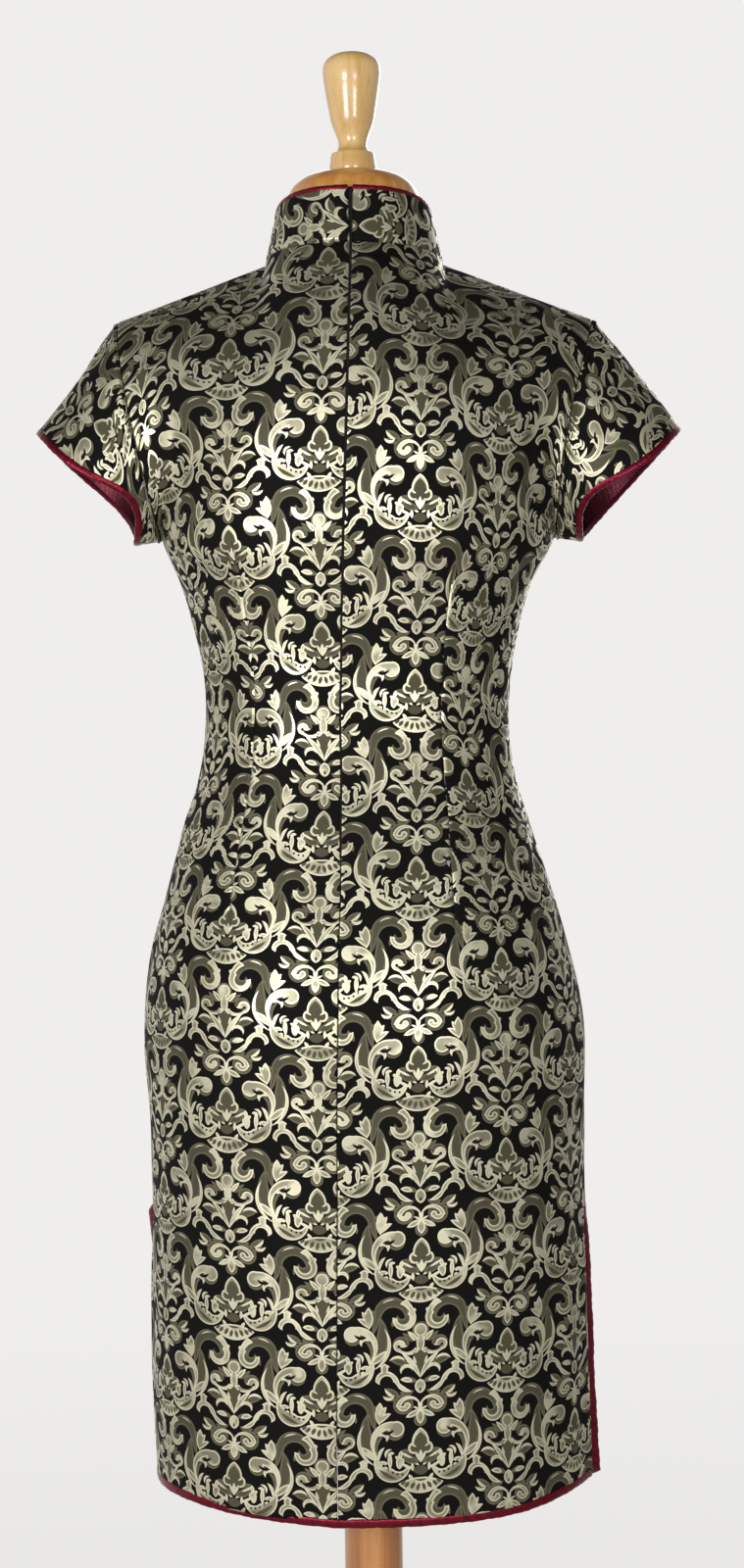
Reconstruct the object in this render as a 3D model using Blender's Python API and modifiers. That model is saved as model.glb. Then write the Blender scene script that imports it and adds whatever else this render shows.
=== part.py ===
"""A knee-length cheongsam dress on a limbless dress form.

+X is the wearer's left, -Y the wearer's front and +Z up, in metres. The origin is the middle of
the base's underside. Each cloth piece is an open surface, worked out row by row from the tables
below and thickened outwards into a wall. u runs across a panel from its centre line (0) to its
side (1), and v is the distance up the cloth, which equals the height below the underarm.
"""
import bpy
import numpy as np

OBJECT_NAME = "cheongsam_dress"

# Walls, seams and trim
CLOTH = 0.0015
SEAM = 0.0003
HEM_BINDING = 0.0052
SLEEVE_BINDING = 0.0045
COLLAR_BINDING = 0.0040
BINDING_WALL = 0.0024
FACING_WIDTH = 0.010
FACING_WALL = 0.0010

# Heights of the dress above the floor
HEM = 0.4475
SLIT_TOP = 0.657
UNDERARM = 1.186

# Height of the hem from the centre (0) to the slit (1), lower at the centre
HEM_COLUMNS = ("across", "left", "right")
HEM_ROWS = (
    (0.00, 0.4310, 0.4310),
    (0.25, 0.4365, 0.4317),
    (0.50, 0.4425, 0.4350),
    (0.75, 0.4450, 0.4430),
    (1.00, 0.4465, 0.4480),
)

# The body of the dress: inner face of the cloth at each height. Sway moves a row sideways, twist
# is how far the whole row has turned round the form and seam how far the back seam alone has.
BODY_COLUMNS = ("height", "half_width", "back", "front", "sway", "twist", "seam")
BODY_ROWS = (
    (0.425, 0.1715, 0.111, 0.105, -0.0030, 0.0305, 0.0000),   # below the hem
    (0.520, 0.1720, 0.113, 0.107, -0.0016, 0.0288, 0.0000),   # knee
    (0.600, 0.1715, 0.114, 0.107, -0.0012, 0.0269, 0.0000),
    (0.680, 0.1700, 0.116, 0.106, -0.0005, 0.0240, 0.0000),   # slit top
    (0.740, 0.1710, 0.119, 0.106, 0.0000, 0.0225, 0.0000),
    (0.800, 0.1728, 0.122, 0.108, 0.0013, 0.0190, 0.0007),    # hip
    (0.829, 0.1700, 0.121, 0.109, 0.0026, 0.0165, 0.0012),
    (0.866, 0.1625, 0.116, 0.109, 0.0040, 0.0135, 0.0021),
    (0.905, 0.1515, 0.107, 0.108, 0.0040, 0.0105, 0.0034),
    (0.956, 0.1360, 0.094, 0.104, 0.0046, 0.0080, 0.0046),
    (1.000, 0.1232, 0.084, 0.099, 0.0042, 0.0060, 0.0057),
    (1.040, 0.1190, 0.079, 0.097, 0.0034, 0.0050, 0.0074),    # waist
    (1.077, 0.1205, 0.080, 0.099, 0.0023, 0.0035, 0.0090),
    (1.122, 0.1295, 0.088, 0.106, 0.0026, 0.0020, 0.0095),    # ribs
    (1.150, 0.1375, 0.094, 0.112, 0.0020, 0.0010, 0.0100),
    (1.186, 0.1540, 0.101, 0.118, 0.0000, 0.0000, 0.0115),    # underarm
)
SQUARENESS = 0.022

# Above the underarm: the cloth's length up to the shoulder, how far each column bends over near
# the neck and how much more near the armhole, and how rounded that bend is
UPPER_LENGTH = 0.215
SHOULDER_BEND = (58, 20)
SHOULDER_ROUNDNESS = (2.1, 0.9)
BEND_REACH = 0.55
RISE_SHARE = 0.6
TOP_SOFTNESS = 0.30
NECK_SEAM_SHIFT = 0.0025
SHOULDER_TILT = 0.0085
BLADE_FULLNESS = 0.012
CHEST_FULLNESS = 0.004

# Bust cups of the front: the place of a cup's crown and how far it stands out
BUST_ACROSS = 0.080
BUST_HEIGHT = 1.190
BUST_DEPTH = 0.014
BUST_SPREAD = (0.048, 0.055)
BUST_BRIDGE = 0.45

# Neckline and collar: an oval seen from above, lower at the front than at the back
NECK_SIDE = 0.0690
NECK_BACK = 0.0620
NECK_FRONT = 0.0780
NECK_HEIGHT = 1.4080
NECK_FRONT_DROP = 0.046
NECK_DROP_POWER = 3.5
COLLAR_TOP_SIDE = 0.0605
COLLAR_TOP_BACK = 0.0565
COLLAR_TOP_FRONT = 0.0680
COLLAR_TOP_HEIGHT = 1.4535
COLLAR_TOP_FRONT_DROP = 0.0485
COLLAR_TOP_DROP_POWER = 2.0
COLLAR_LIFT = 0.0019
COLLAR_LENGTH = 0.225
COLLAR_HEIGHT = 0.044
COLLAR_CORNER = 0.016
COLLAR_GAP_TOP = 0.0017
COLLAR_GAP_BASE = 0.0006
COLLAR_GAP_TURN = 0.6

# Shoulder and armhole
NECK_SHARE = 1 / 3
SHOULDER = (0.1875, -0.006, 1.3585)
ARMHOLE_BOTTOM = (0.1545, 0.0, UNDERARM)
ARMHOLE_BACK = 0.048
ARMHOLE_FRONT = 0.045
ARMHOLE_BACK_CUT = {"left": 0.002, "right": 0.012}
ARMHOLE_FRONT_CUT = {"left": 0.008, "right": 0.008}

# Sleeve hem: its highest and lowest points and its half width from front to back
SLEEVE_TIP = {"left": (0.2540, -0.005, 1.2695), "right": (0.2575, -0.005, 1.2695)}
SLEEVE_UNDER = (0.1790, -0.004, 1.1835)
SLEEVE_HALF = 0.052
# How far the sleeve's hem is drawn up towards the underarm, and its middle out of a straight line
SLEEVE_BACK_ARCH = {"left": 0.058, "right": 0.052}
SLEEVE_FRONT_ARCH = {"left": 0.0145, "right": 0.001}
SLEEVE_ARCH_POWER = {"back": 3.0, "front": 1.5}
SLEEVE_CROWN = {"left": -0.002, "right": 0.001}

# How far each panel's edge stands out at the hem, where the slits let it go
PANEL_WIDTH = 0.190
FLARE_REACH = 0.036
FLARE = {"back_left": 0.001, "back_right": 0.004, "front_left": 0.003, "front_right": 0.003}
SLIT_OPENING = 0.006

# The dress form: torso sections, then the turned wooden parts from top to bottom
TORSO_COLUMNS = ("height", "half_width", "back", "front")
TORSO_ROWS = (
    (0.780, 0.1500, 0.098, 0.088),
    (0.786, 0.1600, 0.108, 0.098),
    (0.820, 0.1640, 0.113, 0.101),
    (0.866, 0.1580, 0.109, 0.101),
    (0.905, 0.1460, 0.099, 0.100),
    (0.956, 0.1300, 0.086, 0.096),
    (1.000, 0.1165, 0.075, 0.091),    # waist
    (1.040, 0.1115, 0.070, 0.089),
    (1.077, 0.1130, 0.071, 0.091),
    (1.122, 0.1220, 0.079, 0.098),
    (1.150, 0.1290, 0.085, 0.104),
    (1.186, 0.1400, 0.091, 0.108),
    (1.225, 0.1480, 0.094, 0.106),
    (1.265, 0.1560, 0.091, 0.096),
    (1.300, 0.1630, 0.083, 0.087),
    (1.325, 0.1635, 0.070, 0.075),
    (1.342, 0.1595, 0.060, 0.068),    # shoulders
    (1.356, 0.1405, 0.0520, 0.063),
    (1.370, 0.1100, 0.0465, 0.059),
    (1.386, 0.0754, 0.0415, 0.053),
    (1.400, 0.0545, 0.0380, 0.045),
    (1.4354, 0.0450, 0.0375, 0.042),  # neck
)
CAP_PROFILE = (
    (0.0, 1.4750), (0.0200, 1.4747), (0.0330, 1.4728), (0.0430, 1.4685), (0.0500, 1.4615),
    (0.0530, 1.4520), (0.0520, 1.4435), (0.0485, 1.4378), (0.0440, 1.4363), (0.0, 1.4363),
)
FINIAL_PROFILE = (
    (0.0, 1.5715), (0.0090, 1.5709), (0.0160, 1.5688), (0.0206, 1.5652), (0.0227, 1.5606),
    (0.0230, 1.5560), (0.0216, 1.5440), (0.0175, 1.5190), (0.0134, 1.4935), (0.0150, 1.4922),
    (0.0172, 1.4908), (0.0177, 1.4882), (0.0177, 1.4753), (0.0, 1.4753),
)
POLE_RADIUS = 0.023
POLE_BOTTOM = 0.0303
POLE_TOP = 0.7797
BASE_RADIUS = 0.190
BASE_HEIGHT = 0.030
BASE_EDGE = 0.006

# Sides and steps
NECK_COLUMNS = 6
SHOULDER_COLUMNS = 7
ARMHOLE_STEPS = 12
SLIT_STEPS = 10
BODY_STEPS = 15
SLEEVE_SIDES = 2 * ARMHOLE_STEPS
COLLAR_CORNER_STEPS = 5
TORSO_SIDES = 28
TORSO_RINGS = 24
FINIAL_SIDES = 24
CAP_SIDES = 28
POLE_SIDES = 32
BASE_SIDES = 48
SHARP_ANGLE = 40

# Colours: red, green, blue, then roughness and metallic
FINISHES = {
    "brocade": ((0.10, 0.10, 0.085), 0.55, 0.15),
    "red_satin": ((0.27, 0.006, 0.028), 0.35, 0.0),
    "form_cover": ((0.55, 0.50, 0.42), 0.85, 0.0),
    "lacquered_beech": ((0.72, 0.45, 0.20), 0.28, 0.0),
}


def smooth_curve(knots, values, at):
    """Cubic curve through the values, each slope taken from the two neighbours."""
    knots = np.asarray(knots, float)
    values = np.asarray(values, float)
    slopes = np.gradient(values, knots, axis=0)
    at = np.clip(at, knots[0], knots[-1])
    cell = np.clip(np.searchsorted(knots, at, side="right") - 1, 0, len(knots) - 2)
    width = knots[cell + 1] - knots[cell]
    along = (at - knots[cell]) / width
    if values.ndim == 1:
        start, end = values[cell], values[cell + 1]
        leave, arrive = slopes[cell] * width, slopes[cell + 1] * width
    else:
        column = np.arange(values.shape[1])
        start, end = values[cell, column], values[cell + 1, column]
        width = width[:, None]
        leave, arrive = slopes[cell, column] * width, slopes[cell + 1, column] * width
        along = along[:, None]
    return ((2 * along**3 - 3 * along**2 + 1) * start + (along**3 - 2 * along**2 + along) * leave
            + (3 * along**2 - 2 * along**3) * end + (along**3 - along**2) * arrive)


def smooth_step(value):
    """Rises from 0 to 1 with level ends."""
    value = np.clip(value, 0, 1)
    return value * value * (3 - 2 * value)


def column_of(rows, names, name, height):
    """One named column of a table, read at any height."""
    table = np.array(rows)
    return smooth_curve(table[:, 0], table[:, names.index(name)], height)


def oval(turn, half_width, back, front):
    """A slightly squared oval; turn is 0 at the centre back and grows towards the left side."""
    rest = 1 - SQUARENESS
    across = half_width * (np.sin(turn) + SQUARENESS * np.sin(3 * turn)) / rest
    depth = np.where(np.cos(turn) > 0, back, front)
    deep = depth * (np.cos(turn) - SQUARENESS * np.cos(3 * turn)) / rest
    return across, deep


def body_row(u, height, is_back, hand):
    """Points of a panel at one height below the underarm, or at it."""
    sizes = {name: column_of(BODY_ROWS, BODY_COLUMNS, name, height) for name in BODY_COLUMNS}
    turn = hand * (u * np.pi / 2 if is_back else np.pi - u * np.pi / 2)
    moved = sizes["twist"] + sizes["seam"] * smooth_step(1 - u) * is_back
    across, deep = oval(turn + moved / sizes["half_width"],
                        sizes["half_width"], sizes["back"], sizes["front"])
    return np.stack([across + sizes["sway"], deep, np.full_like(turn, height)], axis=-1)


def neck_ring(turn, side, back, front, height, drop, power):
    """The neckline or the collar's top edge; turn is 0 at the centre back, 180 degrees in front."""
    middle = (back - front) / 2
    deep = middle + (back + front) / 2 * np.cos(turn)
    fall = drop * ((1 - np.cos(turn)) / 2) ** power
    return np.stack([side * np.sin(turn), deep, height - fall], axis=-1)


def neckline(turn):
    """Where the cloth ends round the neck."""
    return neck_ring(turn, NECK_SIDE, NECK_BACK, NECK_FRONT,
                     NECK_HEIGHT, NECK_FRONT_DROP, NECK_DROP_POWER)


def collar_top(turn):
    """The top edge of the stand collar."""
    return neck_ring(turn, COLLAR_TOP_SIDE, COLLAR_TOP_BACK, COLLAR_TOP_FRONT,
                     COLLAR_TOP_HEIGHT, COLLAR_TOP_FRONT_DROP, COLLAR_TOP_DROP_POWER)


def armhole(turn, side):
    """Armhole of a side: turn is 0 at the underarm, 90 degrees at the back, 180 at the shoulder."""
    rise = (1 - np.cos(turn)) / 2
    across = ARMHOLE_BOTTOM[0] + (SHOULDER[0] - ARMHOLE_BOTTOM[0]) * (1 - (1 - rise) ** 1.6)
    at_back = np.sin(turn) > 0
    cut = np.where(at_back, ARMHOLE_BACK_CUT[side], ARMHOLE_FRONT_CUT[side])
    across = across - cut * np.sin(turn) ** 2
    depth = np.where(at_back, ARMHOLE_BACK, ARMHOLE_FRONT)
    deep = SHOULDER[1] * rise + depth * np.sin(turn)
    hand = 1 if side == "left" else -1
    return np.stack([hand * across, deep, UNDERARM + (SHOULDER[2] - UNDERARM) * rise], axis=-1)


def top_edge(u, is_back, hand):
    """Neckline from the centre line to the neck's side, then the shoulder seam.

    A negative u goes on round the neckline on the other side.
    """
    share = np.clip(np.abs(u) / NECK_SHARE, 0, 1)
    turn = share * np.pi / 2 if is_back else np.pi - share * np.pi / 2
    neck = neckline(turn) * np.stack([np.sign(u), np.ones_like(u), np.ones_like(u)], axis=-1)
    along = np.clip((u - NECK_SHARE) / (1 - NECK_SHARE), 0, None)[:, None]
    edge = neck + along * (np.array(SHOULDER) - neckline(np.array([np.pi / 2]))[0])
    edge = edge * (hand, 1, 1)
    edge[:, 0] += NECK_SEAM_SHIFT * smooth_step(1 - share) * is_back
    return edge


def soft_top_edge(u, share, is_back, hand):
    """The top edge as the rows below it see it: its corner at the neck is rounded off."""
    spread = TOP_SOFTNESS * (1 - share)
    if spread < 0.004:
        return top_edge(u, is_back, hand)
    reach = np.linspace(-0.5, 1.5, 121)
    weight = np.exp(-((u[:, None] - reach[None, :]) / spread) ** 2)
    return weight @ top_edge(reach, is_back, hand) / weight.sum(axis=1, keepdims=True)


def upper_row(u, share, is_back, hand):
    """Points of a panel above the underarm, share of the way up to its top edge.

    Each column bends from upright at the underarm level over to the shoulder, as a quarter of a
    rounded oval, and the columns near the armhole are drawn over to it.
    """
    low = body_row(u, UNDERARM, is_back, hand)
    high = soft_top_edge(u, share, is_back, hand)
    past_neck = smooth_step(u / BEND_REACH)
    bend = np.radians(SHOULDER_BEND[0] + SHOULDER_BEND[1] * past_neck)
    power = 2 / (SHOULDER_ROUNDNESS[0] + SHOULDER_ROUNDNESS[1] * past_neck)
    end_y = np.cos(bend) ** power
    go_y = (np.cos(share * bend) ** power - end_y) / (1 - end_y)
    go_z = np.sin(share * bend) ** power / np.sin(bend) ** power
    steady = share + (go_z - share) * RISE_SHARE
    rows = high + (low - high) * np.stack([1 - steady, go_y, 1 - steady], axis=-1)
    fullness = BLADE_FULLNESS if is_back else CHEST_FULLNESS
    out = fullness * np.sin(np.pi * share) ** 1.2 * np.cos(np.clip(u, 0, 1) * np.pi / 2) ** 0.5
    rows[:, 1] += out if is_back else -out
    return rows


def upper_points(u, share, is_back, hand):
    """An upper row drawn over to its armhole."""
    rows = upper_row(u, share, is_back, hand)
    side = "left" if hand > 0 else "right"
    edge = armhole(np.array([np.pi * share if is_back else -np.pi * share]), side)
    return rows + (edge - upper_row(np.array([1.0]), share, is_back, hand)) * (u**4)[:, None]


def settle(points):
    """The shoulders, sleeves and collar sit slightly higher on the wearer's left."""
    moved = points.copy()
    moved[..., 2] += SHOULDER_TILT * points[..., 0] * smooth_step((points[..., 2] - 1.0) / 0.3)
    return moved


def bust(points):
    """Moves the front's points out over two soft cups."""
    wide = (np.abs(points[:, 0]) - BUST_ACROSS) / BUST_SPREAD[0]
    tall = (points[:, 2] - BUST_HEIGHT) / BUST_SPREAD[1]
    bridge = np.where(np.abs(points[:, 0]) < BUST_ACROSS, BUST_BRIDGE * wide, wide)
    moved = points.copy()
    moved[:, 1] -= BUST_DEPTH * np.exp(-bridge**2 - tall**2)
    return moved


def panel_points(name, u, v):
    """Points of a panel; name is back_left, back_right, front_left or front_right."""
    shape = np.broadcast(u, v).shape
    u, v = (np.broadcast_to(part, shape).ravel().astype(float) for part in (u, v))
    is_back = name.startswith("back")
    hand = 1 if name.endswith("left") else -1
    low = [body_row(u, row[0], is_back, hand) for row in BODY_ROWS[:-1]]
    shares = np.linspace(0, 1, ARMHOLE_STEPS + 1)
    high = [upper_points(u, share, is_back, hand) for share in shares]
    knots = [row[0] for row in BODY_ROWS[:-1]] + list(UNDERARM + UPPER_LENGTH * shares)
    points = smooth_curve(knots, np.array(low + high), v)
    if not is_back:
        points = bust(points)
    let_go = np.clip((SLIT_TOP - v) / (SLIT_TOP - HEM), 0, 1) ** 2
    near = np.clip(1 - (1 - u) * PANEL_WIDTH / FLARE_REACH, 0, 1) ** 2
    points[:, 0] += hand * FLARE[name] * let_go * near
    points[:, 1] += (SEAM / 2 + SLIT_OPENING / 2 * let_go * near) * (1 if is_back else -1)
    if is_back:
        points[:, 0] += hand * SEAM / 2
    return settle(points).reshape(shape + (3,))


def hem_height(u, hand):
    """Height of the finished hem at a place across a panel."""
    return column_of(HEM_ROWS, HEM_COLUMNS, "left" if hand > 0 else "right", u)


def grid_normals(points):
    """Unit normals of a grid of points, whose rows go up and columns go across."""
    across = np.gradient(points, axis=1)
    up = np.gradient(points, axis=0)
    normal = np.cross(across, up)
    return normal / np.linalg.norm(normal, axis=-1, keepdims=True)


def grid_faces(rows, columns, closed):
    """Four-sided faces of a grid, with an optional join of the last column to the first."""
    last = columns if closed else columns - 1
    row, column = np.meshgrid(np.arange(rows - 1), np.arange(last), indexing="ij")
    after = (column + 1) % columns
    faces = [row * columns + column, row * columns + after,
             (row + 1) * columns + after, (row + 1) * columns + column]
    return np.stack(faces, axis=-1).reshape(-1, 4)


def material(slot):
    """The Principled material of a finish."""
    found = bpy.data.materials.get(slot)
    if found:
        return found
    colour, roughness, metallic = FINISHES[slot]
    made = bpy.data.materials.new(slot)
    made.use_nodes = True
    shader = made.node_tree.nodes["Principled BSDF"]
    shader.inputs["Base Color"].default_value = (*colour, 1)
    shader.inputs["Roughness"].default_value = roughness
    shader.inputs["Metallic"].default_value = metallic
    made.diffuse_color = (*colour, 1)
    return made


def add_object(name, mesh, slot, collection):
    """A named object with its finish, smooth but for its sharp edges."""
    made = bpy.data.objects.new(name, mesh)
    made.data.materials.append(material(slot))
    mesh.shade_smooth()
    mesh.set_sharp_from_angle(angle=np.radians(SHARP_ANGLE))
    collection.objects.link(made)
    return made


def add_wall(name, points, slot, collection, wall=CLOTH, closed=False, flip=False):
    """A grid of points as a cloth piece: an open surface thickened outwards."""
    rows, columns = points.shape[:2]
    faces = grid_faces(rows, columns, closed)
    if flip:
        faces = faces[:, ::-1]
    mesh = bpy.data.meshes.new(name)
    mesh.from_pydata(points.reshape(-1, 3).tolist(), [], faces.tolist())
    made = add_object(name, mesh, slot, collection)
    thicken = made.modifiers.new("wall", "SOLIDIFY")
    thicken.thickness = wall
    thicken.offset = 1
    thicken.use_even_offset = True
    return made


def binding_share():
    """The binding's width as a share of a panel's width at the slit."""
    edge = panel_points("back_left", np.array([0.98, 1.0]), np.full(2, SLIT_TOP - 0.1))
    return HEM_BINDING * 0.02 / np.linalg.norm(edge[1] - edge[0])


def panel_columns():
    """Places across a panel, with one at the side of the neck."""
    neck = np.linspace(0, NECK_SHARE, NECK_COLUMNS + 1)
    return np.concatenate([neck, np.linspace(NECK_SHARE, 1, SHOULDER_COLUMNS + 1)[1:]])


def panel_grid(hand):
    """u and v of a panel's cloth, inside its bindings, from its hem to its top edge."""
    heights = np.concatenate([
        np.linspace(HEM, SLIT_TOP - 2 * HEM_BINDING - SEAM, SLIT_STEPS - 2),
        np.linspace(SLIT_TOP, UNDERARM, BODY_STEPS + 1),
        UNDERARM + UPPER_LENGTH * np.arange(1, ARMHOLE_STEPS + 1) / ARMHOLE_STEPS,
    ])
    share = panel_columns()
    v = np.repeat(heights[:, None], len(share), axis=1)
    inset = binding_share() + SEAM / PANEL_WIDTH
    edge = np.where(heights < SLIT_TOP - SEAM, 1 - inset, 1.0)
    u = share[None, :] * edge[:, None]
    raise_hem = hem_height(u, hand) + HEM_BINDING + SEAM - HEM
    above = np.clip((SLIT_TOP - v) / (SLIT_TOP - HEM), 0, 1)
    return u, v + raise_hem * above


def add_panels(collection):
    """Two back panels and the front."""
    add_wall("back_left", panel_points("back_left", *panel_grid(1)), "brocade", collection, flip=True)
    add_wall("back_right", panel_points("back_right", *panel_grid(-1)), "brocade", collection)
    right = panel_points("front_right", *panel_grid(-1))[:, ::-1]
    left = panel_points("front_left", *panel_grid(1))[:, 1:]
    add_wall("front", np.concatenate([right, left], axis=1), "brocade", collection)


def hem_edge(name, inset):
    """The finished edge of a half of the skirt, from its slit top round to the centre, set in."""
    hand = 1 if name.endswith("left") else -1
    side = 1 - inset * binding_share() / HEM_BINDING
    top = SLIT_TOP - 4 * SEAM - 2 * inset
    low = hem_height(side, hand) + inset
    across = panel_columns()[::-1] * side
    up = np.linspace(top, low, SLIT_STEPS + 1)[:-1]
    u = np.concatenate([np.full(len(up), side), across])
    v = np.concatenate([up, hem_height(across, hand) + inset])
    return panel_points(name, u, v)


def add_hem_bindings(collection):
    """Satin folded round the slit edges and the hem: one strip for the back, one for the front."""
    for face in ("back", "front"):
        lines = []
        for inset in (0, HEM_BINDING):
            right = hem_edge(f"{face}_right", inset)
            left = hem_edge(f"{face}_left", inset)[::-1]
            joined = (right[-1] + left[0]) / 2
            lines.append(np.concatenate([right[:-1], joined[None], left[1:]]))
        points = np.stack(lines)
        back = face == "back"
        normal = grid_normals(points) * (-1 if back else 1)
        points = points - normal * (BINDING_WALL - CLOTH) / 2
        add_wall(f"binding_hem_{face}", points, "red_satin", collection, BINDING_WALL, flip=back)


def sleeve_points(turn, share, side):
    """A sleeve: turn goes round from the underarm by the back, share from armhole to hem."""
    hand = 1 if side == "left" else -1
    middle = (np.array(SLEEVE_TIP[side]) + np.array(SLEEVE_UNDER)) / 2
    reach = (np.array(SLEEVE_TIP[side]) - np.array(SLEEVE_UNDER)) / 2
    inward = np.array([-reach[2], 0, reach[0]]) / np.linalg.norm(reach)
    low = (1 + np.cos(turn)) / 2
    arch = np.where(np.sin(turn) > 0,
                    SLEEVE_BACK_ARCH[side] * low ** SLEEVE_ARCH_POWER["back"],
                    SLEEVE_FRONT_ARCH[side] * low ** SLEEVE_ARCH_POWER["front"])
    end = (middle - reach * np.cos(turn)[..., None]
           + np.array([0, SLEEVE_HALF, 0]) * np.sin(turn)[..., None]
           + inward * (arch * np.sin(turn) ** 2)[..., None])
    apart = SEAM + CLOTH * np.interp(np.cos(turn), (-1, 1), (0.3, 1.0))
    start = armhole(turn, side) * (hand, 1, 1) + apart[..., None] * np.array([1, 0, 0])
    share = share[..., None]
    crown = SLEEVE_CROWN[side] * np.sin(np.pi * share) * ((1 - np.cos(turn)) / 2)[..., None] ** 2
    points = start + (end - start) * share + crown * np.array([0.75, 0, 0.66])
    return settle(points * (hand, 1, 1))


def sleeve_band(side, near, far, rows):
    """Points of a band of a sleeve, from far to near its hem; the whole sleeve if far is None."""
    turn = np.linspace(0, 2 * np.pi, SLEEVE_SIDES, endpoint=False)
    ends = [sleeve_points(turn, np.full_like(turn, share), side) for share in (0.0, 1.0)]
    length = np.linalg.norm(ends[1] - ends[0], axis=-1)
    low = np.zeros_like(turn) if far is None else np.clip(1 - far / length, 0.15, 1)
    high = 1 - near / length
    share = low + (high - low) * np.linspace(0, 1, rows)[:, None]
    return sleeve_points(np.broadcast_to(turn, share.shape), share, side)


def closed_normals(points):
    """Normals of a grid that is closed across."""
    wide = np.concatenate([points[:, -2:], points, points[:, :2]], axis=1)
    return grid_normals(wide)[:, 2:-2]


def add_sleeves(collection):
    """Cap sleeves, the satin round their hems and the satin inside them."""
    for hand, side in ((1, "left"), (-1, "right")):
        body = sleeve_band(side, SLEEVE_BINDING + SEAM, None, 7)
        hem = sleeve_band(side, 0.0, SLEEVE_BINDING, 2)
        lining = sleeve_band(side, SLEEVE_BINDING + SEAM, SLEEVE_BINDING + FACING_WIDTH, 3)
        hem = hem + hand * closed_normals(hem) * (BINDING_WALL - CLOTH) / 2
        lining = lining + hand * closed_normals(lining) * (FACING_WALL + 2 * SEAM)
        for part, points, slot, wall in (
                ("sleeve", body, "brocade", CLOTH),
                ("binding_sleeve", hem, "red_satin", BINDING_WALL),
                ("facing_sleeve", lining, "red_satin", FACING_WALL)):
            add_wall(f"{part}_{side}", points, slot, collection, wall, closed=True, flip=hand > 0)


def collar_points(turn, share, hand):
    """A half of the stand collar: turn from centre back to centre front, share of its height."""
    base = neckline(turn) + np.array([0, 0, COLLAR_LIFT])
    top = collar_top(turn)
    points = base + (top - base) * share[..., None]
    gap = COLLAR_GAP_BASE + (COLLAR_GAP_TOP - COLLAR_GAP_BASE) * share
    points[..., 0] += gap * np.clip(1 - turn / COLLAR_GAP_TURN, 0, 1) + SEAM / 2
    points[..., 0] *= hand
    points[..., 0] += NECK_SEAM_SHIFT * smooth_step(1 - turn / (np.pi / 2))
    return settle(points)


def collar_outline(inset):
    """Places along the collar's edge: level along the top, then round the front corner.

    Gives the turn and the share of height, the whole outline set in by a width.
    """
    radius = COLLAR_CORNER - inset
    centre = COLLAR_LENGTH - COLLAR_CORNER
    rise = COLLAR_HEIGHT - inset
    along = np.arange(2 * NECK_COLUMNS) / (2 * NECK_COLUMNS) * COLLAR_LENGTH
    bend = np.linspace(0, np.pi / 2, COLLAR_CORNER_STEPS + 1)
    flat = np.concatenate([along, centre + radius * np.sin(bend)])
    tall = np.concatenate([np.full(len(along), rise), rise - radius + radius * np.cos(bend)])
    return flat / COLLAR_LENGTH * np.pi, tall / COLLAR_HEIGHT


def collar_edge(inset):
    """The collar's edge from the centre back round to the base of the centre front."""
    turn, tall = collar_outline(inset)
    down = np.linspace(1, 0, 4)[1:]
    return np.append(turn, np.full(3, turn[-1])), np.append(tall, tall[-1] * down)


def add_collar(collection):
    """Two halves of the stand collar, each with satin round its edge."""
    for hand, name in ((1, "left"), (-1, "right")):
        flip = hand > 0
        turn, top = collar_outline(COLLAR_BINDING + SEAM)
        share = np.linspace(0, 1, 5)[:, None] * top[None, :]
        cloth = collar_points(np.broadcast_to(turn, share.shape), share, hand)
        add_wall(f"collar_{name}", cloth, "brocade", collection, flip=flip)
        strip = np.stack([collar_points(*collar_edge(inset), hand) for inset in (COLLAR_BINDING, 0)])
        strip = strip + hand * grid_normals(strip) * (BINDING_WALL - CLOTH) / 2
        add_wall(f"binding_collar_{name}", strip, "red_satin", collection,
                 BINDING_WALL, flip=flip)


def add_torso(collection):
    """The form's torso: level ovals joined into one closed, smooth body."""
    turn = np.linspace(0, 2 * np.pi, TORSO_SIDES, endpoint=False)
    low, round_edge, top = (TORSO_ROWS[index][0] for index in (0, 1, -1))
    rings = []
    for height in (low, *np.linspace(round_edge, top, TORSO_RINGS)):
        sizes = [column_of(TORSO_ROWS, TORSO_COLUMNS, name, height) for name in TORSO_COLUMNS[1:]]
        across, deep = oval(turn, *sizes)
        sway = column_of(BODY_ROWS, BODY_COLUMNS, "sway", height)
        rings.append(np.stack([across + sway, deep, np.full_like(turn, height)], axis=-1))
    points = settle(np.array(rings))
    rows, columns = points.shape[:2]
    faces = grid_faces(rows, columns, True)[:, ::-1].tolist()
    faces.append(list(range(columns)))
    faces.append([(rows - 1) * columns + index for index in range(columns)][::-1])
    mesh = bpy.data.meshes.new("form_torso")
    mesh.from_pydata(points.reshape(-1, 3).tolist(), [], faces)
    add_object("form_torso", mesh, "form_cover", collection)


def add_turned(name, profile, collection, sides):
    """A turned piece: its outline, from top to bottom, spun round the form's axis."""
    mesh = bpy.data.meshes.new(name)
    points = [(radius, 0, height) for radius, height in profile]
    edges = [(index, index + 1) for index in range(len(points) - 1)]
    mesh.from_pydata(points, edges, [])
    made = add_object(name, mesh, "lacquered_beech", collection)
    spin = made.modifiers.new("turn", "SCREW")
    spin.steps = sides
    spin.render_steps = sides
    spin.use_merge_vertices = True
    spin.merge_threshold = 0.0001
    spin.use_smooth_shade = True
    return made


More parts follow.
